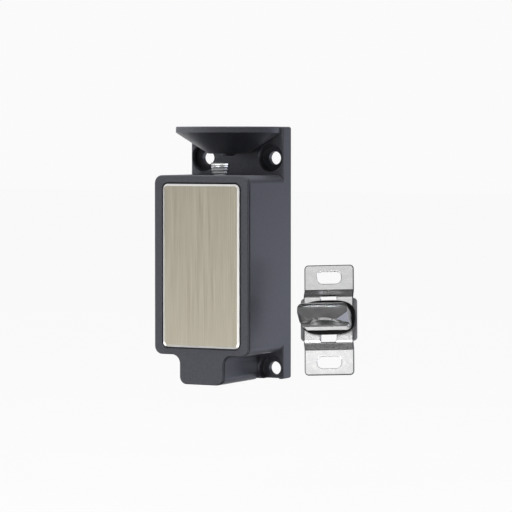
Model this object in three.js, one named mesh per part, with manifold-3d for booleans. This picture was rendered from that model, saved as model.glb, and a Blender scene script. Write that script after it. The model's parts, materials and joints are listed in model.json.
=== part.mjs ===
// Surface-mounted electric pin lock with its door-side keeper.
// Millimetres, +Z up, +X right, +Y into the mounting surface.
// The origin is the centre of the lock's back face.
import * as THREE from 'three';
import { mergeVertices } from 'three/addons/utils/BufferGeometryUtils.js';
import { ConvexGeometry } from 'three/addons/geometries/ConvexGeometry.js';
import Module from 'manifold-3d';

// ---------------------------------------------------------------- driving dimensions

const GAP = 0.3;                 // clearance left between pieces that touch

// lock casting
const LOCK_WIDTH = 42;
const LOCK_HEIGHT = 101.6;
const LOCK_DEPTH = 38;           // back face to the front of the cover
const PLATE = 7;                 // thickness of the back plate
const BODY_TOP = 31.5;
const BODY_BOTTOM = -39.8;
const TAB_HALF = 9.7;            // half width of the neck below the body
const TAB_BOTTOM = -51.5;
const BODY_CORNER = 3.2;
const TAB_CORNER = 3.0;
const TAB_FILLET = 3.6;
const WALL = 2.4;
const TOP_WALL = 3;
const BACK_WALL = 4;

// screw holes of the back plate
const HOLE_X = 15.2;
const HOLE_TOP_Z = 38.2;
const HOLE_BOTTOM_Z = -46.8;
const HOLE_R = 2.7;
const COUNTERBORE_R = 5.25;
const COUNTERBORE_DEPTH = 3.9;

// conical keeper guide at the top of the plate
const GUIDE_Y = -14.8;
const GUIDE_RIM_R = 21;
const GUIDE_RIM_Z = 48.4;        // underside of the rim band
const GUIDE_FOOT_R = 8;
const GUIDE_FOOT_Z = 40;
const GUIDE_BOSS_R = 3;
const GUIDE_BOSS = 0.9;
const GUIDE_WALL = 2.2;

// cover and face plate
const COVER_FLANGE = 0.9;
const COVER_SPIGOT = 2.6;
const COVER_SEAM = 0.8;          // open shadow line between the cover and the casting
const FACE_HALF = 17.1;
const FACE_TOP = 28.1;
const FACE_BOTTOM = -36.8;
const FACE_CORNER = 2.1;
const FACE_PROUD = 0.4;
const FACE_GROOVE = 0.5;         // open groove round the face plate
const RECESS = 1.2;
const COVER_SCREWS = [[-14.4, 24.6], [14.4, 24.6], [-14.4, -33.2], [14.4, -33.2]];

// locking pin, on a vertical axis
const PIN_Y = -21.4;
const PIN_AXIS = [0, PIN_Y, 0];
const PIN_TOP = 36.4;
const PIN_TRAVEL = 5.2;
const PIN_HEAD_R = 3.9;
const PIN_NECK_R = 3.35;
const PIN_R = 3.2;
const PIN_RINGS = 3;
const PIN_TAIL_R = 2;
const COLLAR_Z = 22.9;
const COLLAR = 0.8;
const BUSH_BOTTOM = 24;
const BUSH_R = 5.2;

// solenoid, in line with the pin
const COIL_TOP = 8;
const COIL_BOTTOM = -27;
const STRAP = 1.6;               // solenoid frame thickness
const PLUNGER_R = 4.2;
const PLUNGER_TOP = 12.7;
const PLUNGER_BOTTOM = -12;
const COIL_SCREWS = [[-5.5, -1], [5.5, -18]];
const COIL_POST = 11.6;           // front of the posts the solenoid frame sits on
const CROSS_PIN_Z = 9;
const CROSS_PIN_R = 0.8;

// circuit board on the left wall, with the status switch
const BOARD_X = -17.9;
const BOARD = 1.6;
const BOARD_SCREWS = [[-29, 2], [-10, -26]];
const LEVER_PIVOT = [-10.2, -8.7, 16.8];
const LEVER_LENGTH = 13.8;
const LEVER_WIDTH = 2.4;
const LEVER_REST = THREE.MathUtils.degToRad(23.5);

// cable inlet in the floor of the neck
const INLET_Y = -26;
const INLET_R = 3.1;
const INLET_SEAT_R = 4.6;
const INLET_SEAT = 1.2;          // depth of the seat for the grommet's flange

// keeper, modelled upright and then placed as a loose piece beside the lock
const KEEPER_PLACE = [41.76, -7.5, -26.35];
const KEEPER_TURN = THREE.MathUtils.degToRad(19.2);
const KEEPER_LEAN = THREE.MathUtils.degToRad(-11.7);
const KEEPER_TWIST = THREE.MathUtils.degToRad(-1.6);
const KEEPER_WIDTH = 19.8;
const KEEPER_HEIGHT = 44.3;
const SHEET = 1.2;
const RAISE = 2.9;
const STEP_OUTER = 12;
const STEP_INNER = 9.2;
const TIGHT_BEND = 0.6;          // bend radii of the strap, on the side that faces each bend
const WIDE_BEND = 3;
const SLOT_Z = 17;
const SLOT_LENGTH = 9.6;
const SLOT_WIDTH = 4.8;
const FLOAT_SLOT = 6.4;
const TONGUE_HALF = 9.8;
const TONGUE_THICK = 7;
const TONGUE_LENGTH = 27;
const ROOT_LENGTH = 17.1;
const ROOT_DROP = 1.45;
const EYE_R = 4.6;
const EYE_BACK = 5.5;            // eye centre behind the nose
const EYE_ROOF = 2;              // metal left over the blind eye
const DISH_R = 7.6;
const DISH = 1.2;
const ROOT_GROOVE = 0.35;        // relief groove along the top of the root's front
const PAD_FRONT = 7;
const PAD_RISE = 0.35;           // the cushion sits this far above the stem's middle
const STEM_HALF = 2;
const TONGUE_SCREW_Z = 2.9;

const BIG = 60;                  // reach of a cutter that only has to run clear
const TURN_SIDES = 20;           // flats round a turned piece
const BORE_SIDES = 12;           // flats round a small bore or screw
const CONE_SIDES = 40;
const ARC_SIDES = 4;             // flats in a rounded corner

// ---------------------------------------------------------------- solids

const wasm = await Module();
wasm.setup();

/** Closed three.js geometry to a solid, with its faces turned outwards. */
function solid(geometry) {
  const plain = geometry.clone();
  plain.deleteAttribute('normal');
  plain.deleteAttribute('uv');
  const merged = mergeVertices(plain, 1e-5);
  const at = merged.getAttribute('position').array;
  const index = merged.getIndex().array;
  const faces = [];
  let volume = 0;
  const [a, b, c] = [new THREE.Vector3(), new THREE.Vector3(), new THREE.Vector3()];
  for (let i = 0; i < index.length; i += 3) {
    const [p, q, r] = [index[i], index[i + 1], index[i + 2]];
    if (p === q || q === r || r === p) continue;
    faces.push(p, q, r);
    volume += a.fromArray(at, 3 * p).dot(b.fromArray(at, 3 * q).cross(c.fromArray(at, 3 * r)));
  }
  if (volume < 0) faces.reverse();
  return new wasm.Manifold(new wasm.Mesh({
    numProp: 3,
    vertProperties: new Float32Array(at),
    triVerts: new Uint32Array(faces),
  }));
}

/** Solid back to a three.js geometry. */
function geometryOf(body) {
  const mesh = body.getMesh();
  const geometry = new THREE.BufferGeometry();
  geometry.setAttribute('position', new THREE.BufferAttribute(mesh.vertProperties, 3));
  geometry.setIndex(new THREE.BufferAttribute(mesh.triVerts, 1));
  geometry.computeVertexNormals();
  return geometry;
}

function addAll(first, ...rest) {
  return rest.reduce((sum, next) => sum.add(next), first);
}

function cutAll(first, ...rest) {
  return rest.reduce((left, next) => left.subtract(next), first);
}

/** Box between two limits on each axis. */
function block([x0, x1], [y0, y1], [z0, z1]) {
  const box = new THREE.BoxGeometry(x1 - x0, y1 - y0, z1 - z0);
  box.translate((x0 + x1) / 2, (y0 + y1) / 2, (z0 + z1) / 2);
  return solid(box);
}

const UP = new THREE.Matrix4();
const TO_FRONT = new THREE.Matrix4().makeRotationX(Math.PI / 2);
const TO_SIDE = new THREE.Matrix4().makeRotationZ(-Math.PI / 2);

/** Turned piece: [radius, height] points around an axis that runs up, to the front or sideways. */
function turned(points, at, direction = UP, segments = TURN_SIDES) {
  const profile = points.map(([r, h]) => new THREE.Vector2(r, h));
  const lathe = new THREE.LatheGeometry(profile, segments);
  if (direction !== TO_SIDE) lathe.rotateX(Math.PI / 2);
  lathe.applyMatrix4(direction);
  lathe.translate(...at);
  return solid(lathe);
}

/** Plain round bar or bore, from one height to another along its axis. */
function round(radius, from, to, at, direction = UP, segments = TURN_SIDES) {
  return turned([[0, from], [radius, from], [radius, to], [0, to]], at, direction, segments);
}

/** Ring: a turned piece whose rectangular section closes on itself. */
function ring(inner, outer, from, to, at, segments = TURN_SIDES) {
  const section = [[inner, from], [outer, from], [outer, to], [inner, to], [inner, from]];
  return turned(section, at, UP, segments);
}

/** Outline through [x, y, radius] corners, each rounded by an arc of its radius. */
function rounded(corners) {
  const shape = new THREE.Shape();
  const count = corners.length;
  corners.forEach(([x, y, radius], i) => {
    const corner = new THREE.Vector2(x, y);
    const before = new THREE.Vector2(...corners[(i + count - 1) % count]).sub(corner).normalize();
    const after = new THREE.Vector2(...corners[(i + 1) % count]).sub(corner).normalize();
    if (!radius) {
      if (i === 0) shape.moveTo(x, y);
      else shape.lineTo(x, y);
      return;
    }
    const half = Math.acos(THREE.MathUtils.clamp(before.dot(after), -1, 1)) / 2;
    const reach = radius / Math.tan(half);
    const start = before.clone().multiplyScalar(reach).add(corner);
    const end = after.clone().multiplyScalar(reach).add(corner);
    const centre = before.clone().add(after).normalize().multiplyScalar(radius / Math.sin(half));
    centre.add(corner);
    if (i === 0) shape.moveTo(start.x, start.y);
    else shape.lineTo(start.x, start.y);
    const from = Math.atan2(start.y - centre.y, start.x - centre.x);
    const to = Math.atan2(end.y - centre.y, end.x - centre.x);
    shape.absarc(centre.x, centre.y, radius, from, to, before.cross(after) > 0);
  });
  shape.closePath();
  return shape;
}

/** Rectangle outline with equal rounded corners. */
function rectangle([x0, x1], [y0, y1], radius) {
  return rounded([[x0, y0, radius], [x1, y0, radius], [x1, y1, radius], [x0, y1, radius]]);
}

function extruded(shape, depth, curveSegments) {
  return new THREE.ExtrudeGeometry(shape, { depth, bevelEnabled: false, curveSegments });
}

/** Outline in X and Z, extruded between two values of Y. */
function frontal(shape, [y0, y1], curveSegments = ARC_SIDES) {
  const geometry = extruded(shape, y1 - y0, curveSegments);
  geometry.rotateX(Math.PI / 2);
  geometry.translate(0, y1, 0);
  return solid(geometry);
}

/** Outline in Y and Z, extruded between two values of X. */
function sideways(shape, [x0, x1], curveSegments = ARC_SIDES) {
  const geometry = extruded(shape, x1 - x0, curveSegments);
  const [y, z, x] = [[0, 1, 0], [0, 0, 1], [1, 0, 0]].map((axis) => new THREE.Vector3(...axis));
  geometry.applyMatrix4(new THREE.Matrix4().makeBasis(y, z, x));
  geometry.translate(x0, 0, 0);
  return solid(geometry);
}

// ---------------------------------------------------------------- materials

function paint(color, roughness, metalness) {
  return new THREE.MeshStandardMaterial({ color, roughness, metalness });
}

const castPaint = paint(0x2e3036, 0.45, 0.2);
const nickel = paint(0xb3ab98, 0.32, 0.9);
const steel = paint(0xb9bbbd, 0.3, 0.9);
const softIron = paint(0x7d8084, 0.45, 0.8);
const zincPlate = paint(0xd6d7d9, 0.28, 0.95);
const castZinc = paint(0x77797c, 0.35, 0.9);
const copper = paint(0xb0603a, 0.4, 0.8);
const springSteel = paint(0x9a9c9f, 0.3, 0.9);
const rubber = paint(0x131314, 0.75, 0);
const nylon = paint(0xe4e0d2, 0.55, 0);
const blackPlastic = paint(0x1b1c1f, 0.5, 0);
const greenPlastic = paint(0x2f7d46, 0.5, 0);
const boardGreen = paint(0x1d5a34, 0.45, 0);
const redSleeve = paint(0xa02420, 0.5, 0);

const assembly = new THREE.Group();

function piece(name, body, material, parent = assembly) {
  const mesh = new THREE.Mesh(geometryOf(body), material);
  mesh.name = name;
  parent.add(mesh);
  return mesh;
}

// ---------------------------------------------------------------- lock casting and cover

/** Front outline of the body and its neck, drawn in by the same amount all round. */
function bodyOutline(inset, topInset = inset) {
  const half = LOCK_WIDTH / 2 - inset;
  const tab = TAB_HALF - inset;
  const top = BODY_TOP - topInset;
  const bottom = BODY_BOTTOM + inset;
  const foot = TAB_BOTTOM + inset;
  const corner = Math.max(BODY_CORNER - inset, 0.8);
  const tabCorner = Math.max(TAB_CORNER - inset, 0.8);
  const fillet = TAB_FILLET + inset;
  return rounded([
    [-tab, foot, tabCorner], [tab, foot, tabCorner], [tab, bottom, fillet],
    [half, bottom, corner], [half, top, corner], [-half, top, corner],
    [-half, bottom, corner], [-tab, bottom, fillet],
  ]);
}

const RIM_Y = -(LOCK_DEPTH - COVER_FLANGE - COVER_SEAM);   // front edge of the casting's walls
const SPIGOT_BACK = -(LOCK_DEPTH - COVER_FLANGE - COVER_SPIGOT);
const PILLAR_FRONT = SPIGOT_BACK + GAP;
const COVER_SCREW_HEAD = LOCK_DEPTH - RECESS - 0.1;

function guideCone() {
  const top = LOCK_HEIGHT / 2;
  return turned([
    [0, GUIDE_FOOT_Z - GUIDE_BOSS], [GUIDE_BOSS_R - 0.8, GUIDE_FOOT_Z - GUIDE_BOSS],
    [GUIDE_BOSS_R, GUIDE_FOOT_Z], [GUIDE_FOOT_R, GUIDE_FOOT_Z], [GUIDE_RIM_R, GUIDE_RIM_Z],
    [GUIDE_RIM_R, top], [0, top],
  ], [0, GUIDE_Y, 0], UP, CONE_SIDES);
}

/** The dish hollowed out of the guide, stopped short of the back plate. */
function guideDish() {
  const top = LOCK_HEIGHT / 2;
  const floor = GUIDE_FOOT_Z + GUIDE_WALL;
  const slope = (GUIDE_RIM_R - GUIDE_FOOT_R) / (GUIDE_RIM_Z - GUIDE_FOOT_Z);
  const mouth = GUIDE_RIM_R - GUIDE_WALL;
  const footR = GUIDE_FOOT_R - 1.6;
  const lip = floor + (mouth - footR) / slope;
  const dish = turned([[0, floor], [footR, floor], [mouth, lip], [mouth, top + 1], [0, top + 1]],
    [0, GUIDE_Y, 0], UP, CONE_SIDES);
  return dish.intersect(block([-BIG, BIG], [-BIG, -PLATE - 1.4], [-BIG, BIG]));
}

function plateHoles() {
  const holes = [];
  for (const x of [-HOLE_X, HOLE_X]) {
    for (const z of [HOLE_TOP_Z, HOLE_BOTTOM_Z]) {
      holes.push(round(HOLE_R, -1, PLATE + 1, [x, 0, z], TO_FRONT, BORE_SIDES));
      holes.push(round(COUNTERBORE_R, PLATE - COUNTERBORE_DEPTH, PLATE + 1, [x, 0, z], TO_FRONT));
    }
  }
  return holes;
}

function makeHousing() {
  const half = LOCK_WIDTH / 2;
  const plate = frontal(rectangle([-half, half], [-LOCK_HEIGHT / 2, LOCK_HEIGHT / 2], 0.8), [-PLATE, 0]);
  const guide = guideCone().intersect(block([-BIG, BIG], [-BIG, -PLATE + 1], [-BIG, BIG]));
  const outside = addAll(plate, frontal(bodyOutline(0), [RIM_Y, -PLATE + 1]), guide);
  const cavity = frontal(bodyOutline(WALL, TOP_WALL), [RIM_Y - 1, -BACK_WALL]);
  const shell = cutAll(outside, cavity, guideDish(), ...plateHoles());
  const pillars = COVER_SCREWS.map(([x, z]) =>
    round(2.9, BACK_WALL - 1, -PILLAR_FRONT, [x, 0, z], TO_FRONT, BORE_SIDES));
  const coilPosts = COIL_SCREWS.map(([x, z]) =>
    round(3, BACK_WALL - 1, COIL_POST, [x, 0, z], TO_FRONT, BORE_SIDES));
  const boardPads = BOARD_SCREWS.map(([y, z]) =>
    round(2.6, -LOCK_WIDTH / 2 + 1, BOARD_X - GAP, [0, y, z], TO_SIDE, BORE_SIDES));
  const bores = [
    ...COVER_SCREWS.map(([x, z]) => round(1.4, 26, 40, [x, 0, z], TO_FRONT, BORE_SIDES)),
    ...COIL_SCREWS.map(([x, z]) => turned(
      [[0, -1], [2.9, -1], [2.9, 0.2], [1.6, 1.8], [1.6, 13], [0, 13]], [x, 0, z], TO_FRONT, BORE_SIDES)),
    ...BOARD_SCREWS.map(([y, z]) => round(1.3, -LOCK_WIDTH / 2 + 0.7, -15, [0, y, z], TO_SIDE, BORE_SIDES)),
    round(BUSH_R + GAP, BODY_TOP - TOP_WALL - 1, BODY_TOP + 1, PIN_AXIS),
    round(INLET_R + GAP, TAB_BOTTOM - 1, TAB_BOTTOM + WALL + 1, [0, INLET_Y, 0]),
    round(INLET_SEAT_R + GAP, TAB_BOTTOM - 1, TAB_BOTTOM + INLET_SEAT, [0, INLET_Y, 0]),
  ];
  return cutAll(addAll(shell, ...pillars, ...coilPosts, ...boardPads), ...bores);
}

function makeCover() {
  const flange = frontal(bodyOutline(0), [-LOCK_DEPTH, -LOCK_DEPTH + COVER_FLANGE]);
  const spigot = frontal(bodyOutline(WALL + GAP, TOP_WALL + GAP), [-LOCK_DEPTH + 0.5, SPIGOT_BACK]);
  const recess = rectangle([-FACE_HALF - FACE_GROOVE, FACE_HALF + FACE_GROOVE],
    [FACE_BOTTOM - FACE_GROOVE, FACE_TOP + FACE_GROOVE], FACE_CORNER + FACE_GROOVE);
  const head = COVER_SCREW_HEAD;
  const holes = COVER_SCREWS.map(([x, z]) => turned(
    [[0, 33], [1.4, 33], [1.4, head - 1.4], [2.8, head], [2.8, 39], [0, 39]],
    [x, 0, z], TO_FRONT, BORE_SIDES));
  return cutAll(flange.add(spigot),
    frontal(recess, [-LOCK_DEPTH - 1, -LOCK_DEPTH + RECESS]), ...holes);
}

function makeFacePlate() {
  const outline = rectangle([-FACE_HALF, FACE_HALF], [FACE_BOTTOM, FACE_TOP], FACE_CORNER);
  return frontal(outline, [-LOCK_DEPTH - FACE_PROUD, -LOCK_DEPTH + RECESS - GAP]);
}

/** Countersunk screw along Y: head face and tip given as distances in front of the back face. */
function countersunk(x, z, headFace, tip, headR, shankR) {
  const into = Math.sign(tip - headFace);
  const neck = headFace + into * (headR - shankR);
  const screw = turned([[0, tip], [shankR, tip], [shankR, neck], [headR, headFace], [0, headFace]],
    [x, 0, z], TO_FRONT, BORE_SIDES);
  const half = headR * 0.6;
  const face = [-headFace - 0.5, -headFace + 0.5];
  const slot = (wide, tall) => block([x - wide, x + wide], face, [z - tall, z + tall]);
  return cutAll(screw, slot(half, 0.3), slot(0.3, half));
}

piece('housing', makeHousing(), castPaint);
piece('front_cover', makeCover(), castPaint);
piece('face_plate', makeFacePlate(), nickel);
COVER_SCREWS.forEach(([x, z], i) => {
  piece(`cover_screw_${i + 1}`, countersunk(x, z, COVER_SCREW_HEAD, 29, 2.4, 1.1), steel);
});
COIL_SCREWS.forEach(([x, z], i) => {
  piece(`solenoid_screw_${i + 1}`, countersunk(x, z, 0.1, 13.3, 2.5, 1.3), steel);
});

// ---------------------------------------------------------------- pin and its fittings

/** Pin with a flared, ring-grooved head, a retaining groove and a tail for the plunger. */
function makePin() {
  const pitch = (PIN_TOP - BODY_TOP) / (PIN_RINGS + 1);
  const radiusAt = (z) => THREE.MathUtils.mapLinear(z, BODY_TOP, PIN_TOP, PIN_NECK_R, PIN_HEAD_R);
  const points = [
    [0, 5.3], [PIN_TAIL_R, 5.3], [PIN_TAIL_R, PLUNGER_TOP + GAP], [PIN_R, PLUNGER_TOP + GAP],
    [PIN_R, COLLAR_Z - GAP], [2.5, COLLAR_Z - GAP], [2.5, COLLAR_Z + COLLAR + GAP],
    [PIN_R, COLLAR_Z + COLLAR + GAP], [PIN_R, BODY_TOP - 0.3], [PIN_NECK_R, BODY_TOP],
  ];
  for (let i = 1; i <= PIN_RINGS; i += 1) {
    const z = BODY_TOP + i * pitch;
    const r = radiusAt(z);
    points.push([r, z - 0.3], [r - 0.4, z], [r, z + 0.3]);
  }
  points.push([PIN_HEAD_R, PIN_TOP - 0.35], [PIN_HEAD_R - 0.35, PIN_TOP], [0, PIN_TOP]);
  const crossHole = round(CROSS_PIN_R + GAP, -BIG, BIG, [0, PIN_Y, CROSS_PIN_Z], TO_SIDE, BORE_SIDES);
  return turned(points, PIN_AXIS, UP, 24).subtract(crossHole);
}

/** Flanged bush, counterbored from above to take the pin's head when it is drawn in. */
function makeBush() {
  const flangeTop = BODY_TOP - TOP_WALL - GAP;
  const headRoom = BODY_TOP - PIN_TRAVEL - 0.4;
  const section = [
    [PIN_R + GAP, BUSH_BOTTOM], [BUSH_R, BUSH_BOTTOM], [BUSH_R, flangeTop - 1.3],
    [6.8, flangeTop - 1.3], [6.8, flangeTop], [BUSH_R, flangeTop], [BUSH_R, BODY_TOP - GAP],
    [PIN_HEAD_R + GAP, BODY_TOP - GAP], [PIN_HEAD_R + GAP, headRoom], [PIN_R + GAP, headRoom],
    [PIN_R + GAP, BUSH_BOTTOM],
  ];
  return turned(section, PIN_AXIS, UP, 24);
}

/** Washer that takes the spring's thrust, with an arm over the status switch's lever. */
function makeCollar() {
  const z = [COLLAR_Z, COLLAR_Z + COLLAR];
  const disc = round(6, ...z, PIN_AXIS);
  const arm = block([-11.2, -2], [PIN_Y - 2, PIN_Y + 2], z);
  return disc.add(arm).subtract(round(2.8, z[0] - 1, z[1] + 1, PIN_AXIS));
}

piece('locking_pin', makePin(), steel);
piece('pin_bush', makeBush(), steel);
piece('pin_collar', makeCollar(), zincPlate);
piece('pin_spring', ring(4.6, 5.6, COIL_TOP + GAP, COLLAR_Z - GAP, PIN_AXIS), springSteel);

// ---------------------------------------------------------------- solenoid

function makeSolenoidFrame() {
  const back = -COIL_POST - GAP;
  const front = -29.3;
  const bend = 1.8;
  const c = rounded([
    [front, COIL_BOTTOM, 0.4], [back, COIL_BOTTOM, bend], [back, COIL_TOP, bend],
    [front, COIL_TOP, 0.4], [front, COIL_TOP - STRAP, 0.4], [back - STRAP, COIL_TOP - STRAP, 0.4],
    [back - STRAP, COIL_BOTTOM + STRAP, 0.4], [front, COIL_BOTTOM + STRAP, 0.4],
  ]);
  const holes = COIL_SCREWS.map(([x, z]) => round(1.6, 10, 15, [x, 0, z], TO_FRONT, BORE_SIDES));
  return cutAll(sideways(c, [-8, 8]),
    round(PLUNGER_R + GAP, 0, BIG, PIN_AXIS), round(2.5, -BIG, 0, PIN_AXIS, UP, BORE_SIDES), ...holes);
}

function makeBobbin() {
  const low = COIL_BOTTOM + STRAP + GAP;
  const high = COIL_TOP - STRAP - GAP;
  const bore = PLUNGER_R + GAP;
  return turned([
    [bore, low], [7.7, low], [7.7, low + 1], [5.3, low + 1], [5.3, high - 1], [7.7, high - 1],
    [7.7, high], [bore, high], [bore, low],
  ], PIN_AXIS);
}

function makePlunger() {
  return cutAll(round(PLUNGER_R, PLUNGER_BOTTOM, PLUNGER_TOP, PIN_AXIS),
    round(PIN_TAIL_R + GAP, 5, BIG, PIN_AXIS, UP, BORE_SIDES),
    round(CROSS_PIN_R + GAP, -BIG, BIG, [0, PIN_Y, CROSS_PIN_Z], TO_SIDE, BORE_SIDES));
}

function makeFixedCore() {
  const top = PLUNGER_BOTTOM - PIN_TRAVEL - 0.5;
  const shoulder = COIL_BOTTOM + STRAP + GAP;
  const end = COIL_BOTTOM - 3.6;
  return turned([[0, end], [2.2, end], [2.2, shoulder], [PLUNGER_R, shoulder], [PLUNGER_R, top], [0, top]],
    PIN_AXIS);
}

function makeCoreNut() {
  const z = COIL_BOTTOM - GAP;
  return round(4, z - 2.4, z, PIN_AXIS, UP, 6).subtract(round(2.5, z - 4, z + 1, PIN_AXIS, UP, BORE_SIDES));
}

piece('solenoid_frame', makeSolenoidFrame(), softIron);
piece('coil_bobbin', makeBobbin(), nylon);
piece('coil_winding', ring(5.6, 7.5, COIL_BOTTOM + 3.2, COIL_TOP - 3.2, PIN_AXIS), copper);
piece('plunger', makePlunger(), softIron);
piece('plunger_cross_pin', round(CROSS_PIN_R, -PLUNGER_R + GAP, PLUNGER_R - GAP,
  [0, PIN_Y, CROSS_PIN_Z], TO_SIDE, BORE_SIDES), steel);
piece('fixed_core', makeFixedCore(), softIron);
piece('core_nut', makeCoreNut(), zincPlate);

// ---------------------------------------------------------------- board, switch, leads, inlet

const BOARD_FACE = BOARD_X + BOARD;
const TERMINAL = { y: [-32, -16], z: [-27, -17], x: [BOARD_FACE + GAP, -10] };
const POLES = 4;

function makeBoard() {
  const holes = BOARD_SCREWS.map(([y, z]) => round(1.3, -BIG, 0, [0, y, z], TO_SIDE, BORE_SIDES));
  const notch = block([-BIG, 0], [-8.8, 0], [16, BIG]);
  return cutAll(block([BOARD_X, BOARD_FACE], [-33, -7], [-29, 20]), notch, ...holes);
}

function makeBoardScrew(y, z) {
  const headBack = BOARD_FACE + GAP;
  const screw = turned([
    [0, -20], [1, -20], [1, headBack], [2.1, headBack], [2.1, headBack + 0.9],
    [1.5, headBack + 1.4], [0, headBack + 1.4],
  ], [0, y, z], TO_SIDE, BORE_SIDES);
  return screw.subtract(block([headBack + 0.8, headBack + 2], [y - 0.3, y + 0.3], [z - 3, z + 3]));
}

/** Row of clamping poles: a wire entry below and a clamping screw well in the face of each. */
function makeTerminalBlock() {
  const pitch = (TERMINAL.y[1] - TERMINAL.y[0]) / POLES;
  let body = block(TERMINAL.x, TERMINAL.y, TERMINAL.z);
  for (let i = 0; i < POLES; i += 1) {
    const y = TERMINAL.y[0] + (i + 0.5) * pitch;
    const middle = (TERMINAL.z[0] + TERMINAL.z[1]) / 2;
    body = cutAll(body,
      round(1.1, TERMINAL.z[0] - 1, TERMINAL.z[0] + 3.5, [-14, y, 0], UP, BORE_SIDES),
      round(1.4, TERMINAL.x[1] - 1.5, 0, [0, y, middle], TO_SIDE, BORE_SIDES));
  }
  return body;
}

function makeDiode() {
  return turned([
    [0, -9], [0.4, -9], [0.4, -6], [1.35, -6], [1.35, -0.8], [0.4, -0.8], [0.4, 2.2], [0, 2.2],
  ], [BOARD_FACE + GAP + 1.35, -12, 0], UP, 12);
}

const [LEVER_X, LEVER_Y, LEVER_Z] = LEVER_PIVOT;

function makeSwitch() {
  const ear = (x0, x1) => block([x0, x1], [-10, -7.4], [15, 18]);
  const low = LEVER_X - LEVER_WIDTH / 2 - GAP;
  const high = LEVER_X + LEVER_WIDTH / 2 + GAP;
  const body = addAll(block([BOARD_FACE + GAP, high + 0.7], [-20.5, -7.4], [9, 15.4]),
    ear(low - 0.7, low), ear(high, high + 0.7));
  return body.subtract(round(0.7, low - 2, high + 2, [0, LEVER_Y, LEVER_Z], TO_SIDE, BORE_SIDES));
}

/** Lever with a rolled eye, lying along its own -Y from the pivot. */
function makeLever() {
  const x = [-LEVER_WIDTH / 2, LEVER_WIDTH / 2];
  const arm = block(x, [-LEVER_LENGTH, 0], [-0.2, 0.2]);
  const eye = round(1.1, ...x, [0, 0, 0], TO_SIDE, BORE_SIDES);
  return arm.add(eye).subtract(round(0.7, -BIG, BIG, [0, 0, 0], TO_SIDE, BORE_SIDES));
}

/** Insulated lead between two points, leaving the coil sideways and entering the block from above. */
function makeLead(from, to) {
  const [a, d] = [new THREE.Vector3(...from), new THREE.Vector3(...to)];
  const b = a.clone().add(new THREE.Vector3(-3, 0, -1));
  const c = d.clone().add(new THREE.Vector3(0, 0, 7));
  const path = new THREE.CubicBezierCurve3(a, b, c, d);
  const section = new THREE.Shape().absarc(0, 0, 0.6, 0, 2 * Math.PI);
  const options = { steps: 12, curveSegments: 3, bevelEnabled: false, extrudePath: path };
  return solid(new THREE.ExtrudeGeometry(section, options));
}

function makeGrommet() {
  const face = TAB_BOTTOM + 0.1;
  const seat = TAB_BOTTOM + INLET_SEAT - GAP;
  const inside = TAB_BOTTOM + WALL + GAP;
  return turned([
    [1.8, face], [INLET_SEAT_R, face], [INLET_SEAT_R, seat], [INLET_R, seat],
    [INLET_R, inside], [4.4, inside],
    [3.6, inside + 1.2], [1.8, inside + 1.2], [1.8, face],
  ], [0, INLET_Y, 0]);
}

piece('circuit_board', makeBoard(), boardGreen);
BOARD_SCREWS.forEach(([y, z], i) => piece(`board_screw_${i + 1}`, makeBoardScrew(y, z), steel));
piece('terminal_block', makeTerminalBlock(), greenPlastic);
piece('surge_diode', makeDiode(), blackPlastic);
piece('status_switch', makeSwitch(), blackPlastic);
piece('lever_pivot_pin', round(0.4, -12.5, -7.9, [0, LEVER_Y, LEVER_Z], TO_SIDE, 8), steel);
const lever = piece('switch_lever', makeLever(), springSteel);
lever.position.set(LEVER_X, LEVER_Y, LEVER_Z);
lever.rotation.x = -LEVER_REST;
piece('coil_lead_positive', makeLead([-8.5, -22.5, 3], [-13, -26, TERMINAL.z[1] + GAP]), redSleeve);
piece('coil_lead_negative', makeLead([-8.5, -19.5, 1], [-13, -20.5, TERMINAL.z[1] + GAP]), blackPlastic);
piece('cable_grommet', makeGrommet(), rubber);

// ---------------------------------------------------------------- keeper

const keeper = new THREE.Group();
keeper.position.set(...KEEPER_PLACE);
keeper.rotation.set(KEEPER_LEAN, KEEPER_TWIST, KEEPER_TURN, 'ZXY');
assembly.add(keeper);

/** Strap with a raised middle, two slotted flanges and an upright slot for the tongue's stem. */
function makeBracket() {
  const end = KEEPER_HEIGHT / 2;
  const back = SHEET * (Math.SQRT2 - 1);
  const front = [
    [-SHEET, -end, 0], [-SHEET, -STEP_OUTER, TIGHT_BEND], [-SHEET - RAISE, -STEP_INNER, WIDE_BEND],
    [-SHEET - RAISE, STEP_INNER, WIDE_BEND], [-SHEET, STEP_OUTER, TIGHT_BEND], [-SHEET, end, 0],
  ];
  const [outer, inner] = [TIGHT_BEND + SHEET, WIDE_BEND - SHEET];
  const rear = [
    [0, end, 0], [0, STEP_OUTER - back, outer], [-RAISE, STEP_INNER - back, inner],
    [-RAISE, -STEP_INNER + back, inner], [0, -STEP_OUTER + back, outer], [0, -end, 0],
  ];
  const half = KEEPER_WIDTH / 2;
  const strap = sideways(rounded([...rear, ...front]), [-half, half]);
  const outline = frontal(rectangle([-half, half], [-end, end], 1.6), [-10, 10]);
  const slot = (z) => frontal(rectangle(
    [-SLOT_LENGTH / 2, SLOT_LENGTH / 2], [z - SLOT_WIDTH / 2, z + SLOT_WIDTH / 2], SLOT_WIDTH / 2 - 0.3,
  ), [-10, 10]);
  const stemSlot = frontal(rectangle(
    [-FLOAT_SLOT / 2, FLOAT_SLOT / 2], [-STEP_INNER, STEP_INNER], 1,
  ), [-10, 10]);
  return cutAll(strap.intersect(outline), slot(SLOT_Z), slot(-SLOT_Z), stemSlot);
}

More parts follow.
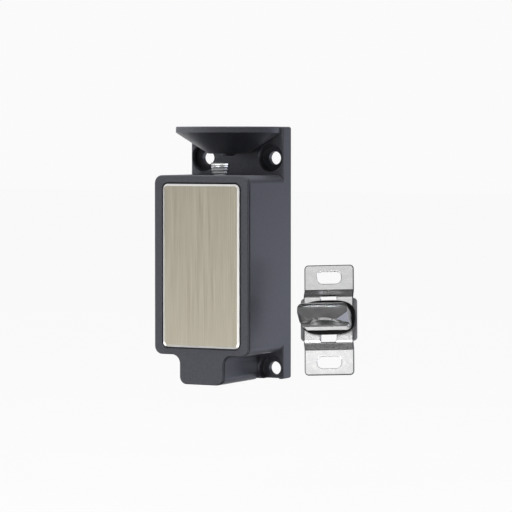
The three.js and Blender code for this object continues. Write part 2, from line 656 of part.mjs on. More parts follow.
/** Plate that slides in the pocket behind the strap and holds the tongue. */
function makeCarrier() {
  const y = [-2.4, -0.8];
  const half = FLOAT_SLOT / 2;
  const notch = (z0, z1) => frontal(rectangle([-half, half], [z0, z1], 0.8), [-10, 10]);
  const holes = [-TONGUE_SCREW_Z, TONGUE_SCREW_Z].map((z) => turned(
    [[0, 0], [2.5, 0], [2.5, 0.9], [1.4, 2.0], [1.4, 5], [0, 5]], [0, 0, z], TO_FRONT, BORE_SIDES));
  return cutAll(frontal(rectangle([-11.25, 11.25], [-8.5, 8.5], 1.4), y),
    notch(-12, -5.6), notch(5.6, 12), ...holes);
}

/** Rubber cushion between the tongue and the strap: a full oval with a slot for the stem. */
function makePad() {
  const [a, b, power] = [10.85, 6.8, 2 / 3];
  const points = [];
  const count = 40;
  for (let i = 0; i < count; i += 1) {
    const angle = (2 * Math.PI * i) / count;
    const [c, s] = [Math.cos(angle), Math.sin(angle)];
    points.push(new THREE.Vector2(
      a * Math.sign(c) * Math.abs(c) ** power, PAD_RISE + b * Math.sign(s) * Math.abs(s) ** power));
  }
  const back = -SHEET - RAISE - GAP;
  const stem = rectangle([-STEM_HALF - GAP, STEM_HALF + GAP], [-5.3, 5.3], 0.8);
  return frontal(new THREE.Shape(points), [-PAD_FRONT, back]).subtract(frontal(stem, [-BIG, BIG]));
}

/** Cutter for one corner: everything of the corner beyond the plane through three edge points. */
function cornerCutter(corner, edgePoints) {
  const apex = new THREE.Vector3(...corner);
  const plane = edgePoints.map((p) => new THREE.Vector3(...p));
  const middle = plane.reduce((sum, p) => sum.add(p), new THREE.Vector3()).divideScalar(3);
  const spread = plane.map((p) => p.clone().sub(middle).multiplyScalar(1.5).add(middle));
  const beyond = apex.clone().sub(middle).multiplyScalar(2.5).add(middle);
  return solid(new ConvexGeometry([...spread, beyond]));
}

/** Tongue: a nose with a dished blind eye for the pin, a deeper root behind it, and a stem. */
function makeTongue() {
  const half = TONGUE_HALF;
  const top = TONGUE_THICK / 2;
  const nose = -TONGUE_LENGTH;
  const rootBack = -PAD_FRONT - GAP;
  const side = sideways(rounded([
    [nose, -top, 0.4], [-ROOT_LENGTH, -top, 0], [-ROOT_LENGTH, -top - ROOT_DROP, 0.5],
    [rootBack, -top - ROOT_DROP, 0], [rootBack, top, 0], [nose, top, 2.6],
  ]), [-half, half]);
  const outline = rounded([
    [-half, -top - ROOT_DROP, 2.2], [half, -top - ROOT_DROP, 2.2], [half, top, 2.6], [-half, top, 2.6],
  ]);
  const stem = frontal(rectangle([-STEM_HALF, STEM_HALF], [-5, 5], 0.6), [rootBack - 1, -2.7]);
  const eyeY = nose + EYE_BACK;
  const eye = turned([
    [0, -top - 2], [DISH_R, -top - 2], [DISH_R, -top], [EYE_R, -top + DISH], [EYE_R, top - EYE_ROOF],
    [0, top - EYE_ROOF],
  ], [0, eyeY, 0], UP, 28).intersect(frontal(rectangle([-BIG, BIG], [-BIG, BIG], 1), [-BIG, -ROOT_LENGTH]));
  const groove = frontal(
    rectangle([-BIG, BIG], [-top - ROOT_GROOVE, -top + 0.05], 0.1),
    [-ROOT_LENGTH - 0.1, -ROOT_LENGTH + ROOT_GROOVE],
  );
  const facets = [-1, 1].map((s) => cornerCutter([s * half, nose, -top],
    [[s * half, nose, -top + 3], [s * (half - 4.4), nose, -top], [s * half, nose + 9, -top]]));
  const threads = [-TONGUE_SCREW_Z, TONGUE_SCREW_Z].map((z) =>
    round(1.4, 2, 9.5, [0, 0, z], TO_FRONT, BORE_SIDES));
  const body = side.intersect(frontal(outline, [nose - 1, rootBack]));
  return cutAll(body.add(stem), eye, groove, ...facets, ...threads);
}

piece('keeper_bracket', makeBracket(), zincPlate, keeper);
piece('keeper_carrier', makeCarrier(), softIron, keeper);
piece('keeper_pad', makePad(), rubber, keeper);
piece('keeper_tongue', makeTongue(), castZinc, keeper);
[TONGUE_SCREW_Z, -TONGUE_SCREW_Z].forEach((z, i) => {
  piece(`tongue_screw_${i + 1}`, countersunk(0, z, 0.9, 8.8, 2.2, 1.1), steel, keeper);
});

export default assembly;
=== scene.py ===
import json
import math

import bmesh
import bpy
from mathutils import Matrix, Vector

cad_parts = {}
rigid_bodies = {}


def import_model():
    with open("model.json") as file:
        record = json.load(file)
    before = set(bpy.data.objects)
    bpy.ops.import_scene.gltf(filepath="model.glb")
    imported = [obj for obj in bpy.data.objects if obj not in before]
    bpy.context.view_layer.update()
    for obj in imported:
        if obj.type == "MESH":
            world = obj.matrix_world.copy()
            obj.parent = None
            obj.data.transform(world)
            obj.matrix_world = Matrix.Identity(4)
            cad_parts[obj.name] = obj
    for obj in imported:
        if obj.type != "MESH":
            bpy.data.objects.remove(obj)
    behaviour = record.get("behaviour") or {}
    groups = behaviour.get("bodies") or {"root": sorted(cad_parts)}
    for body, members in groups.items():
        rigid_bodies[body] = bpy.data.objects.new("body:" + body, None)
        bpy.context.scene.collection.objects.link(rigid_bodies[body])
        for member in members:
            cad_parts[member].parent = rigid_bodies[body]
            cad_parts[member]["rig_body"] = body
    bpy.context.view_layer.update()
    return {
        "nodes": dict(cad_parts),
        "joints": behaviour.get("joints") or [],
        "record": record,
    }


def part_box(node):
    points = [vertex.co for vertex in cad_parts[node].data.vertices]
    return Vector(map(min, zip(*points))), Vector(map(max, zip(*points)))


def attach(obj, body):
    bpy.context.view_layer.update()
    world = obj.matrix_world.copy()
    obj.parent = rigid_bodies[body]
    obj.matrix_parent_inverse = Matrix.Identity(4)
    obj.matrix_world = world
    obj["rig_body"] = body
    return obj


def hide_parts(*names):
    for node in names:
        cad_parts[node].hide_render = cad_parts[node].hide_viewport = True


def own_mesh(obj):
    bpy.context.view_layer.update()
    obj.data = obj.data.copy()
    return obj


# Surface-mounted electric pin lock and its keeper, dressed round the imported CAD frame.
# Shapes are drawn in millimetres, in the CAD's own axes, and scaled by MM as they become meshes.

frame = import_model()
record = frame["record"]
scene = bpy.context.scene

MM = 0.001
GAP = 0.3
ARC = 7                 # steps in a rounded corner
ROUND = 72              # sides of a turned piece
FINE_ROUND = 128        # sides of the guide cone


def limits(node):
    """Lowest and highest corner of a CAD node, in millimetres."""
    low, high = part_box(node)
    return low / MM, high / MM


# ---------------------------------------------------------------- drawing

def mesh_object(name, verts, faces):
    mesh = bpy.data.meshes.new(name)
    mesh.from_pydata([Vector(v) * MM for v in verts], [], faces)
    bm = bmesh.new()
    bm.from_mesh(mesh)
    bmesh.ops.remove_doubles(bm, verts=bm.verts, dist=1e-7)
    bmesh.ops.recalc_face_normals(bm, faces=bm.faces)
    bm.to_mesh(mesh)
    bm.free()
    obj = bpy.data.objects.new(name, mesh)
    scene.collection.objects.link(obj)
    return obj


def front_place(u, v, depth):
    """Outline in X and Z, depth along Y."""
    return (u, depth, v)


def side_place(u, v, depth):
    """Outline in Y and Z, depth along X."""
    return (depth, u, v)


def rounded(corners, steps=ARC):
    """Outline through (x, y, radius) corners, each rounded by an arc of its radius."""
    points = []
    for i, (x, y, radius) in enumerate(corners):
        corner = Vector((x, y))
        if radius <= 0:
            points.append((x, y))
            continue
        before = (Vector(corners[i - 1][:2]) - corner).normalized()
        after = (Vector(corners[(i + 1) % len(corners)][:2]) - corner).normalized()
        half = before.angle(after) / 2
        centre = corner + (before + after).normalized() * (radius / math.sin(half))
        start = corner + before * (radius / math.tan(half)) - centre
        sweep = math.pi - 2 * half
        turn = sweep if before.cross(after) < 0 else -sweep
        for k in range(steps + 1):
            angle = turn * k / steps
            c, s = math.cos(angle), math.sin(angle)
            points.append((centre.x + c * start.x - s * start.y, centre.y + s * start.x + c * start.y))
    return points


def rectangle(x, y, radius, inset=0.0):
    """Rounded rectangle between two limits each way, drawn in by an inset."""
    r = max(radius - inset, 0.06)
    x0, x1, y0, y1 = x[0] + inset, x[1] - inset, y[0] + inset, y[1] - inset
    return rounded([(x0, y0, r), (x1, y0, r), (x1, y1, r), (x0, y1, r)])


def prism(rings, place=front_place, name="solid"):
    """Closed solid through outlines of equal length, each at its own depth."""
    count = len(rings[0][0])
    verts = [place(u, v, depth) for outline, depth in rings for u, v in outline]
    faces = [list(range(count)), list(range(len(verts) - count, len(verts)))]
    for ring in range(len(rings) - 1):
        a = ring * count
        for i in range(count):
            j = (i + 1) % count
            faces.append([a + i, a + j, a + count + j, a + count + i])
    return mesh_object(name, verts, faces)


def soft_prism(outline, low, high, low_edge=0.0, high_edge=0.0, place=front_place, steps=4):
    """Prism of outline(inset) from one depth to another, with rounded rims of the given radii."""
    def rim(edge, at, way):
        if edge <= 0:
            return [(outline(0), at)]
        turns = [math.pi / 2 * k / steps for k in range(steps + 1)]
        return [(outline(edge * (1 - math.sin(t))), at + way * edge * (1 - math.cos(t))) for t in turns]

    rings = rim(low_edge, low, 1) + rim(high_edge, high, -1)[::-1]
    return prism(rings, place)


def turned(corners, at=(0, 0, 0), way="up", sides=ROUND, steps=4):
    """Turned solid: (radius, height, rounding) corners round an axis that runs up, front or side."""
    profile = rounded(corners, steps)
    hollow = all(r > 0.001 for r, _ in profile)
    spans = list(zip(profile, profile[1:] + profile[:1]))
    verts, faces = [], []
    for r, h in profile:
        for k in range(sides):
            angle = 2 * math.pi * k / sides
            a, b = r * math.cos(angle), r * math.sin(angle)
            point = {"up": (a, b, h), "front": (a, -h, b), "side": (h, a, b)}[way]
            verts.append(Vector(point) + Vector(at))
    for n, ((r0, _), (r1, _)) in enumerate(spans):
        if not hollow and r0 < 0.001 and r1 < 0.001:
            continue
        a, b = n * sides, (n + 1) % len(profile) * sides
        for k in range(sides):
            j = (k + 1) % sides
            faces.append([a + k, a + j, b + j, b + k])
    return merged(mesh_object("turned", verts, faces))


def merged(obj):
    """The object with collapsed faces on the axis cleaned away."""
    bm = bmesh.new()
    bm.from_mesh(obj.data)
    bmesh.ops.dissolve_degenerate(bm, edges=bm.edges, dist=1e-7)
    bmesh.ops.recalc_face_normals(bm, faces=bm.faces)
    bm.to_mesh(obj.data)
    bm.free()
    return obj


def rod(radius, low, high, at=(0, 0, 0), way="up", sides=24):
    return turned([(0, low, 0), (radius, low, 0), (radius, high, 0), (0, high, 0)], at, way, sides)


def block(x, y, z):
    return prism([([(x[0], z[0]), (x[1], z[0]), (x[1], z[1]), (x[0], z[1])], depth) for depth in y])


def apply_modifiers(obj):
    graph = bpy.context.evaluated_depsgraph_get()
    mesh = bpy.data.meshes.new_from_object(obj.evaluated_get(graph))
    obj.modifiers.clear()
    obj.data = mesh
    return obj


def boolean(target, tools, operation):
    for tool in tools:
        modifier = target.modifiers.new(operation, "BOOLEAN")
        modifier.operation = operation
        modifier.solver = "EXACT"
        modifier.object = tool
    apply_modifiers(target)
    for tool in tools:
        bpy.data.objects.remove(tool)
    return target


def add(target, *tools):
    return boolean(target, tools, "UNION")


def cut(target, *tools):
    return boolean(target, tools, "DIFFERENCE")


def keep(target, *tools):
    return boolean(target, tools, "INTERSECT")


def bevelled(obj, width, segments=2, angle=35, clamp=True):
    modifier = obj.modifiers.new("edges", "BEVEL")
    modifier.width = width * MM
    modifier.segments = segments
    modifier.limit_method = "ANGLE"
    modifier.angle_limit = math.radians(angle)
    modifier.miter_outer = "MITER_ARC"
    modifier.use_clamp_overlap = clamp
    return apply_modifiers(obj)


def finished(obj, name, node, body, slot, material, smooth=32):
    """Names and shades a piece, gives it its material, and puts it in place of its CAD node."""
    obj.name = name
    obj.data.name = name
    obj.data.shade_smooth()
    obj.data.set_sharp_from_angle(angle=math.radians(smooth))
    modifier = obj.modifiers.new("flat faces stay flat", "WEIGHTED_NORMAL")
    modifier.keep_sharp = True
    modifier.weight = 100
    if not obj.data.materials:
        obj.data.materials.append(material)
    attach(obj, body)
    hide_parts(node)
    return obj


def crisp(obj, area):
    """Makes every face larger than an area, in square millimetres, shade flat."""
    faces = [polygon for polygon in obj.data.polygons if polygon.area > area * MM * MM]
    rims = {key for polygon in faces for key in polygon.edge_keys}
    for edge in obj.data.edges:
        if edge.key in rims:
            edge.use_edge_sharp = True


# ---------------------------------------------------------------- materials

def node_tree(name):
    material = bpy.data.materials.new(name)
    material.use_nodes = True
    tree = material.node_tree
    return material, tree, tree.nodes["Principled BSDF"]


def noise(tree, scale, stretch=(1, 1, 1), detail=3.0, roughness=0.55):
    """Noise over the piece's own metres; a stretch below 1 draws the grain out along that axis."""
    place = tree.nodes.new("ShaderNodeTexCoord")
    mapping = tree.nodes.new("ShaderNodeMapping")
    mapping.inputs["Scale"].default_value = stretch
    texture = tree.nodes.new("ShaderNodeTexNoise")
    texture.inputs["Scale"].default_value = scale
    texture.inputs["Detail"].default_value = detail
    texture.inputs["Roughness"].default_value = roughness
    tree.links.new(place.outputs["Object"], mapping.inputs["Vector"])
    tree.links.new(mapping.outputs["Vector"], texture.inputs["Vector"])
    return texture.outputs["Fac"]


def ramp(tree, factor, low, high, start=0.3, end=0.7):
    """Colour ramp between two colours over the middle of a texture's range."""
    node = tree.nodes.new("ShaderNodeValToRGB")
    first, last = node.color_ramp.elements
    first.position, last.position = start, end
    first.color, last.color = (*low, 1), (*high, 1)
    tree.links.new(factor, node.inputs["Fac"])
    return node.outputs["Color"]


def span(tree, factor, low, high):
    node = tree.nodes.new("ShaderNodeMapRange")
    node.inputs["From Min"].default_value = 0.3
    node.inputs["From Max"].default_value = 0.7
    node.inputs["To Min"].default_value = low
    node.inputs["To Max"].default_value = high
    tree.links.new(factor, node.inputs["Value"])
    return node.outputs["Result"]


def bump(tree, shader, height, distance):
    node = tree.nodes.new("ShaderNodeBump")
    node.inputs["Strength"].default_value = 1
    node.inputs["Distance"].default_value = distance * MM
    tree.links.new(height, node.inputs["Height"])
    tree.links.new(node.outputs["Normal"], shader.inputs["Normal"])


def surface(name, low, high, metallic, rough, scale, stretch=(1, 1, 1), relief=0.01,
            patches=None, specular=0.5, detail=3.0, tint=(1, 1, 1)):
    """Procedural finish: grain in colour and roughness, with its own relief.

    scale is in cycles per metre; patches is the scale of the broad mottling in the colour.
    """
    material, tree, shader = node_tree(name)
    grain = noise(tree, scale, stretch, detail)
    broad = noise(tree, patches or scale / 6, stretch, 2.0)
    tree.links.new(ramp(tree, broad, low, high), shader.inputs["Base Color"])
    tree.links.new(span(tree, grain, *rough), shader.inputs["Roughness"])
    shader.inputs["Metallic"].default_value = metallic
    shader.inputs["Specular IOR Level"].default_value = specular
    shader.inputs["Specular Tint"].default_value = (*tint, 1)
    bump(tree, shader, grain, relief)
    return material


def brushed(name, low, high, rough, scale, stretch, relief):
    """Brushed metal: the drawn-out grain shows in colour, roughness and relief."""
    material, tree, shader = node_tree(name)
    grain = noise(tree, scale, stretch, 5.0, 0.7)
    tree.links.new(ramp(tree, grain, low, high, 0.25, 0.75), shader.inputs["Base Color"])
    tree.links.new(span(tree, grain, *rough), shader.inputs["Roughness"])
    shader.inputs["Metallic"].default_value = 1
    bump(tree, shader, grain, relief)
    return material


def board_material():
    """Solder-masked board: copper tracks show through as a lighter grid under the green."""
    material, tree, shader = node_tree("circuit board")
    place = tree.nodes.new("ShaderNodeTexCoord")
    tracks = tree.nodes.new("ShaderNodeTexBrick")
    tracks.inputs["Scale"].default_value = 260
    tracks.inputs["Mortar Size"].default_value = 0.035
    tracks.inputs["Color1"].default_value = (0.012, 0.085, 0.03, 1)
    tracks.inputs["Color2"].default_value = (0.016, 0.11, 0.04, 1)
    tracks.inputs["Mortar"].default_value = (0.05, 0.24, 0.08, 1)
    turn = tree.nodes.new("ShaderNodeMapping")
    turn.inputs["Rotation"].default_value = (0, math.radians(90), 0)
    tree.links.new(place.outputs["Object"], turn.inputs["Vector"])
    tree.links.new(turn.outputs["Vector"], tracks.inputs["Vector"])
    tree.links.new(tracks.outputs["Color"], shader.inputs["Base Color"])
    tree.links.new(span(tree, noise(tree, 900), 0.28, 0.42), shader.inputs["Roughness"])
    bump(tree, shader, tracks.outputs["Fac"], 0.03)
    return material


paint = surface("cast paint", (0.078, 0.08, 0.092), (0.094, 0.096, 0.11), 0.0, (0.36, 0.5),
                3200, relief=0.03, patches=900, tint=(0.9, 0.92, 1.0), detail=4.0)
nickel = brushed("brushed nickel", (0.40, 0.365, 0.285), (0.56, 0.52, 0.43), (0.3, 0.42),
                 2600, (1, 1, 0.012), 0.004)
# The face plate's nickel, painted near-white: the polished bevel's highlight is painted into its colour.
nickel_edge_painted_highlight = brushed("polished nickel edge with painted highlight", (0.94, 0.93, 0.9), (0.99, 0.98, 0.96), (0.28, 0.36),
                      900, (1, 1, 1), 0.0005)
steel = surface("turned steel", (0.84, 0.85, 0.85), (0.93, 0.93, 0.92), 1.0, (0.08, 0.16),
                900, (1, 1, 6), 0.003)
zinc = surface("zinc plate", (0.86, 0.86, 0.862), (0.98, 0.98, 0.978), 1.0, (0.26, 0.31),
               1100, relief=0.0003, patches=420)
cast_zinc = surface("die casting", (0.13, 0.131, 0.134), (0.19, 0.191, 0.194), 0.9, (0.15, 0.24),
                    1700, relief=0.001, patches=190)
# Dark zinc: the strap's sheared edges, and painted shade in its tight bends.
sheared_edge_and_crease_shade = surface("shear-cut edge with painted bend shade", (0.1, 0.1, 0.102), (0.2, 0.2, 0.202), 1.0, (0.4, 0.55),
                  1900, relief=0.004)
# Zinc far lighter than the die casting: painted light on the tongue's downward faces and in its eye bore.
zinc_with_painted_underside_light = surface("zinc with painted underside light", (0.78, 0.78, 0.782), (0.9, 0.9, 0.898), 1.0, (0.14, 0.2),
                        1500, (0.05, 1, 1), relief=0.0002)
# Light grey matt zinc: painted highlights on the band under the tongue's root and the middle of the eye
# bore.
matt_zinc_painted_highlight = surface("matt zinc with painted highlight", (0.56, 0.56, 0.562), (0.7, 0.7, 0.698), 0.1, (0.5, 0.65),
                    2600, relief=0.004)
rough_zinc = surface("as-cast zinc", (0.12, 0.121, 0.124), (0.18, 0.181, 0.184), 0.2, (0.7, 0.85),
                     2200, relief=0.003, specular=0.1)
iron = surface("soft iron", (0.22, 0.225, 0.23), (0.33, 0.33, 0.34), 1.0, (0.35, 0.55), 1500, relief=0.01)
copper = surface("enamelled copper", (0.45, 0.14, 0.05), (0.62, 0.23, 0.09), 0.9, (0.22, 0.36),
                 700, relief=0.004)
spring = surface("spring wire", (0.34, 0.345, 0.35), (0.5, 0.5, 0.51), 1.0, (0.2, 0.34), 1900, relief=0.003)
rubber = surface("rubber", (0.004, 0.004, 0.0044), (0.008, 0.008, 0.0084), 0.0, (0.6, 0.8),
                 2600, relief=0.02, specular=0.12)
nylon = surface("natural nylon", (0.72, 0.68, 0.57), (0.8, 0.77, 0.67), 0.0, (0.4, 0.55), 900, relief=0.008)
black_plastic = surface("black plastic", (0.009, 0.009, 0.011), (0.016, 0.016, 0.019), 0.0, (0.34, 0.5),
                        2300, relief=0.012)
green_plastic = surface("green plastic", (0.02, 0.18, 0.05), (0.03, 0.24, 0.075), 0.0, (0.34, 0.48),
                        1500, relief=0.008)
red_sleeve = surface("red sleeve", (0.32, 0.013, 0.012), (0.42, 0.02, 0.018), 0.0, (0.36, 0.5), 1500)
board = board_material()

# ---------------------------------------------------------------- lock casting

housing_low, housing_high = limits("housing")
cover_low, cover_high = limits("front_cover")
face_low, face_high = limits("face_plate")
pin_low, pin_high = limits("locking_pin")

HALF = housing_high.x                    # half width of the lock
TOP = housing_high.z                     # half height of the back plate
RIM_Y = housing_low.y                    # front edge of the casting's walls
PLATE = 7.0
BODY_TOP = cover_high.z
NECK_BOTTOM = cover_low.z
BODY_BOTTOM = -39.8
NECK_HALF = 9.7
WALL = 2.4
TOP_WALL = 3.0
BACK_WALL = 4.0
BODY_CORNER = 3.2
NECK_CORNER = 3.0
NECK_FILLET = 3.6
LEAST_CORNER = 0.8
PLATE_CORNER = 0.9
PILLAR_R = 2.9                           # pillars the cover is screwed to
POST_R = 3.0                             # posts the solenoid frame is screwed to
PAD_R = 2.6                              # pads the circuit board is screwed to
PAD_FACE = -18.2
COVER_BORE_R = 1.4
BOARD_BORE_R = 1.3
REAR_HEAD_R = 2.9
REAR_BORE_R = 1.6
BUSH_HOLE_R = 5.5
INLET_SEAT_R = 4.9
INLET_BORE_R = 3.4
INLET_SEAT = 1.2                         # depth of the seat for the grommet's flange
FAR = 60                                 # reach of a cutter that only has to run clear

HOLES = [(x, z) for x in (-15.2, 15.2) for z in (38.2, -46.8)]
HOLE_R = 2.7
COUNTERBORE_R = 5.25
COUNTERBORE_FLOOR = 3.1                  # distance of the counterbore's floor from the back

GUIDE_Y = -14.8
GUIDE_RIM_R = 21.0
GUIDE_RIM_Z = 48.4
GUIDE_FOOT_R = 8.0
GUIDE_FOOT_Z = 40.0
GUIDE_BOSS_R = 3.0
GUIDE_BOSS = 0.9
DISH_FLOOR_Z = 42.2
DISH_FLOOR_R = 6.4
DISH_MOUTH_R = 18.8
GUIDE_BACK = 1.4                         # wall left between the dish and the plate

PIN_Y = (pin_low.y + pin_high.y) / 2
PIN_TOP = pin_high.z
COVER_SCREWS = [(-14.4, 24.6), (14.4, 24.6), (-14.4, -33.2), (14.4, -33.2)]
COIL_SCREWS = [(-5.5, -1.0), (5.5, -18.0)]
COIL_POST = 11.6
BOARD_SCREWS = [(-29.0, 2.0), (-10.0, -26.0)]
INLET_Y = -26.0
COVER_FLANGE = 0.9
FACE_CORNER = 2.1
FACE_GROOVE = 0.5
RECESS = 1.2
COVER_SCREW_HEAD = -cover_low.y - RECESS - 0.1
PILLAR = -cover_high.y - GAP
FACE_EDGE = 0.85                         # width of the face plate's polished bevel
FACE_EDGE_DEPTH = 0.34


def body_outline(inset, top_inset=None):
    """Front outline of the box and its neck, drawn in by an inset."""
    half, neck = HALF - inset, NECK_HALF - inset
    top = BODY_TOP - (inset if top_inset is None else top_inset)
    bottom, foot = BODY_BOTTOM + inset, NECK_BOTTOM + inset
    corner, neck_corner = max(BODY_CORNER - inset, LEAST_CORNER), max(NECK_CORNER - inset, LEAST_CORNER)
    fillet = NECK_FILLET + inset
    return rounded([
        (-neck, foot, neck_corner), (neck, foot, neck_corner), (neck, bottom, fillet),
        (half, bottom, corner), (half, top, corner), (-half, top, corner),
        (-half, bottom, corner), (-neck, bottom, fillet),
    ])


def guide_cone():
    """Solid guide: a cone under a narrow rim band, with a low boss on its foot."""
    cone = turned([
        (0, GUIDE_FOOT_Z - GUIDE_BOSS, 0), (GUIDE_BOSS_R - 0.6, GUIDE_FOOT_Z - GUIDE_BOSS, 0.5),
        (GUIDE_BOSS_R, GUIDE_FOOT_Z, 0), (GUIDE_FOOT_R, GUIDE_FOOT_Z, 1.2),
        (GUIDE_RIM_R, GUIDE_RIM_Z, 0.35), (GUIDE_RIM_R, TOP, 0.5), (0, TOP, 0),
    ], (0, GUIDE_Y, 0), sides=FINE_ROUND)
    return keep(cone, block((-FAR, FAR), (-FAR, -PLATE + 1), (0, FAR)))


def guide_dish():
    slope = (GUIDE_RIM_R - GUIDE_FOOT_R) / (GUIDE_RIM_Z - GUIDE_FOOT_Z)
    lip = DISH_FLOOR_Z + (DISH_MOUTH_R - DISH_FLOOR_R) / slope
    dish = turned([
        (0, DISH_FLOOR_Z, 0), (DISH_FLOOR_R, DISH_FLOOR_Z, 1.0), (DISH_MOUTH_R, lip, 0.3),
        (DISH_MOUTH_R, TOP - 0.4, 0.2), (DISH_MOUTH_R + 0.5, TOP + 0.1, 0),
        (DISH_MOUTH_R + 0.5, TOP + 2, 0), (0, TOP + 2, 0),
    ], (0, GUIDE_Y, 0), sides=FINE_ROUND)
    return keep(dish, block((-FAR, FAR), (-FAR, -PLATE - GUIDE_BACK), (0, FAR)))


def screw_hole(x, z):
    """Stepped hole for a mounting screw, with broken edges."""
    return turned([
        (0, -1, 0), (HOLE_R + 0.6, -1, 0), (HOLE_R + 0.6, -0.05, 0), (HOLE_R, 0.5, 0.2),
        (HOLE_R, COUNTERBORE_FLOOR, 0), (COUNTERBORE_R, COUNTERBORE_FLOOR, 0.3),
        (COUNTERBORE_R, PLATE - 0.4, 0.3), (COUNTERBORE_R + 0.45, PLATE + 0.05, 0),
        (COUNTERBORE_R + 0.45, PLATE + 1, 0), (0, PLATE + 1, 0),
    ], (x, 0, z), "front")


def make_housing():
    plate = soft_prism(lambda i: rectangle((-HALF, HALF), (-TOP, TOP), PLATE_CORNER, i),
                       -PLATE, 0, 0.5, 0.35)
    shell = soft_prism(body_outline, RIM_Y, -PLATE + 1, 0.3)
    casting = add(plate, shell, guide_cone())
    cavity = soft_prism(lambda i: body_outline(WALL + i, TOP_WALL + i), RIM_Y - 1, -BACK_WALL, 0, 0.8)
    casting = cut(casting, cavity, guide_dish(), *[screw_hole(x, z) for x, z in HOLES])
    root = BACK_WALL - 1
    pillars = [turned([(0, root, 0), (PILLAR_R, root, 0), (PILLAR_R, PILLAR, 0.3), (0, PILLAR, 0)],
                      (x, 0, z), "front", 32) for x, z in COVER_SCREWS]
    posts = [turned([(0, root, 0), (POST_R, root, 0), (POST_R, COIL_POST, 0.3), (0, COIL_POST, 0)],
                    (x, 0, z), "front", 32) for x, z in COIL_SCREWS]
    pads = [rod(PAD_R, -HALF + 1, PAD_FACE, (0, y, z), "side", 32) for y, z in BOARD_SCREWS]
    casting = add(casting, *pillars, *posts, *pads)
    bores = [rod(COVER_BORE_R, 26, 40, (x, 0, z), "front") for x, z in COVER_SCREWS]
    bores += [turned([(0, -1, 0), (REAR_HEAD_R, -1, 0), (REAR_HEAD_R, 0.2, 0), (REAR_BORE_R, 1.8, 0),
                      (REAR_BORE_R, 13, 0), (0, 13, 0)], (x, 0, z), "front", 48) for x, z in COIL_SCREWS]
    bores += [rod(BOARD_BORE_R, -HALF + 0.7, -15, (0, y, z), "side") for y, z in BOARD_SCREWS]
    bores.append(turned([
        (0, BODY_TOP - 4, 0), (BUSH_HOLE_R, BODY_TOP - 4, 0), (BUSH_HOLE_R, BODY_TOP - 0.3, 0.15),
        (BUSH_HOLE_R + 0.4, BODY_TOP + 0.1, 0), (BUSH_HOLE_R + 0.4, BODY_TOP + 1, 0), (0, BODY_TOP + 1, 0),
    ], (0, PIN_Y, 0)))
    bores.append(turned([
        (0, NECK_BOTTOM - 1, 0), (INLET_SEAT_R + 0.2, NECK_BOTTOM - 1, 0),
        (INLET_SEAT_R, NECK_BOTTOM + 0.2, 0), (INLET_SEAT_R, NECK_BOTTOM + INLET_SEAT, 0),
        (INLET_BORE_R, NECK_BOTTOM + INLET_SEAT, 0), (INLET_BORE_R, NECK_BOTTOM + 4, 0),
        (0, NECK_BOTTOM + 4, 0),
    ], (0, INLET_Y, 0)))
    return cut(casting, *bores)


def face_outline(inset):
    return rectangle((face_low.x, face_high.x), (face_low.z, face_high.z), FACE_CORNER, inset)


def make_cover():
    flange = soft_prism(body_outline, cover_low.y, cover_low.y + COVER_FLANGE, 0.45, 0.12)
    spigot = soft_prism(lambda i: body_outline(WALL + GAP + i, TOP_WALL + GAP + i),
                        cover_low.y + 0.5, cover_high.y, 0, 0.3)
    pocket = prism([
        (face_outline(-FACE_GROOVE - rim), y)
        for rim, y in ((0.15, cover_low.y - 1), (0.15, cover_low.y - 0.05), (0, cover_low.y + 0.15),
                       (0, cover_low.y + RECESS))])
    head = COVER_SCREW_HEAD
    sink = 2 * COVER_BORE_R
    holes = [turned([(0, 33, 0), (COVER_BORE_R, 33, 0), (COVER_BORE_R, head - COVER_BORE_R, 0),
                     (sink, head, 0), (sink, 39, 0), (0, 39, 0)],
                    (x, 0, z), "front", 32) for x, z in COVER_SCREWS]
    return cut(add(flange, spigot), pocket, *holes)


def make_face_plate():
    """Plate with a flat brushed face and a polished bevel, which has its own material, painted near-white
    as the bevel's highlight.
    """
    y = face_low.y
    plate = prism([(face_outline(FACE_EDGE), y), (face_outline(0.06), y + FACE_EDGE_DEPTH),
                   (face_outline(0), y + FACE_EDGE_DEPTH + 0.06), (face_outline(0), face_high.y)])
    plate.data.materials.append(nickel)
    plate.data.materials.append(nickel_edge_painted_highlight)
    # The bevel faces take the near-white nickel, a painted highlight.
    for polygon in plate.data.polygons:
        facing = -polygon.normal.y
        polygon.material_index = 1 if 0.05 < facing < 0.99 else 0
    return plate


finished(make_housing(), "housing_casting", "housing", "lock", "cast_paint", paint)
finished(make_cover(), "front_cover_casting", "front_cover", "lock", "cast_paint", paint)
finished(make_face_plate(), "brushed_face_plate", "face_plate", "lock", "nickel_plate", nickel, 12)


THREAD_PITCH = 0.5
THREAD_DEPTH = 0.2
RECESS_DEEP = 0.5                        # depth of a screw's cross recess
RECESS_HALF = 0.3                        # half width of each of its slots


def countersunk(x, z, head_face, tip, head_r, shank_r):
    """Countersunk screw along Y with a cross recess and a threaded shank."""
    into = 1 if tip > head_face else -1
    neck = head_face + into * (head_r - shank_r)
    threads = int(abs(tip - neck) / THREAD_PITCH) - 1
    corners = [(0, tip, 0), (shank_r - 0.25, tip, 0)]
    for k in range(threads):
        at = tip - into * (k + 0.5) * THREAD_PITCH
        corners += [(shank_r, at, 0), (shank_r - THREAD_DEPTH, at - into * THREAD_PITCH / 2, 0)]
    corners += [(shank_r, neck, 0), (head_r, head_face + into * 0.15, 0.08), (head_r - 0.15, head_face, 0),
                (0, head_face, 0)]
    screw = turned(corners, (x, 0, z), "front", 48, 2)
    reach = head_r * 0.6
    face = (-head_face - RECESS_DEEP, -head_face + RECESS_DEEP)
    wide = block((x - reach, x + reach), face, (z - RECESS_HALF, z + RECESS_HALF))
    tall = block((x - RECESS_HALF, x + RECESS_HALF), face, (z - reach, z + reach))
    return cut(screw, wide, tall)


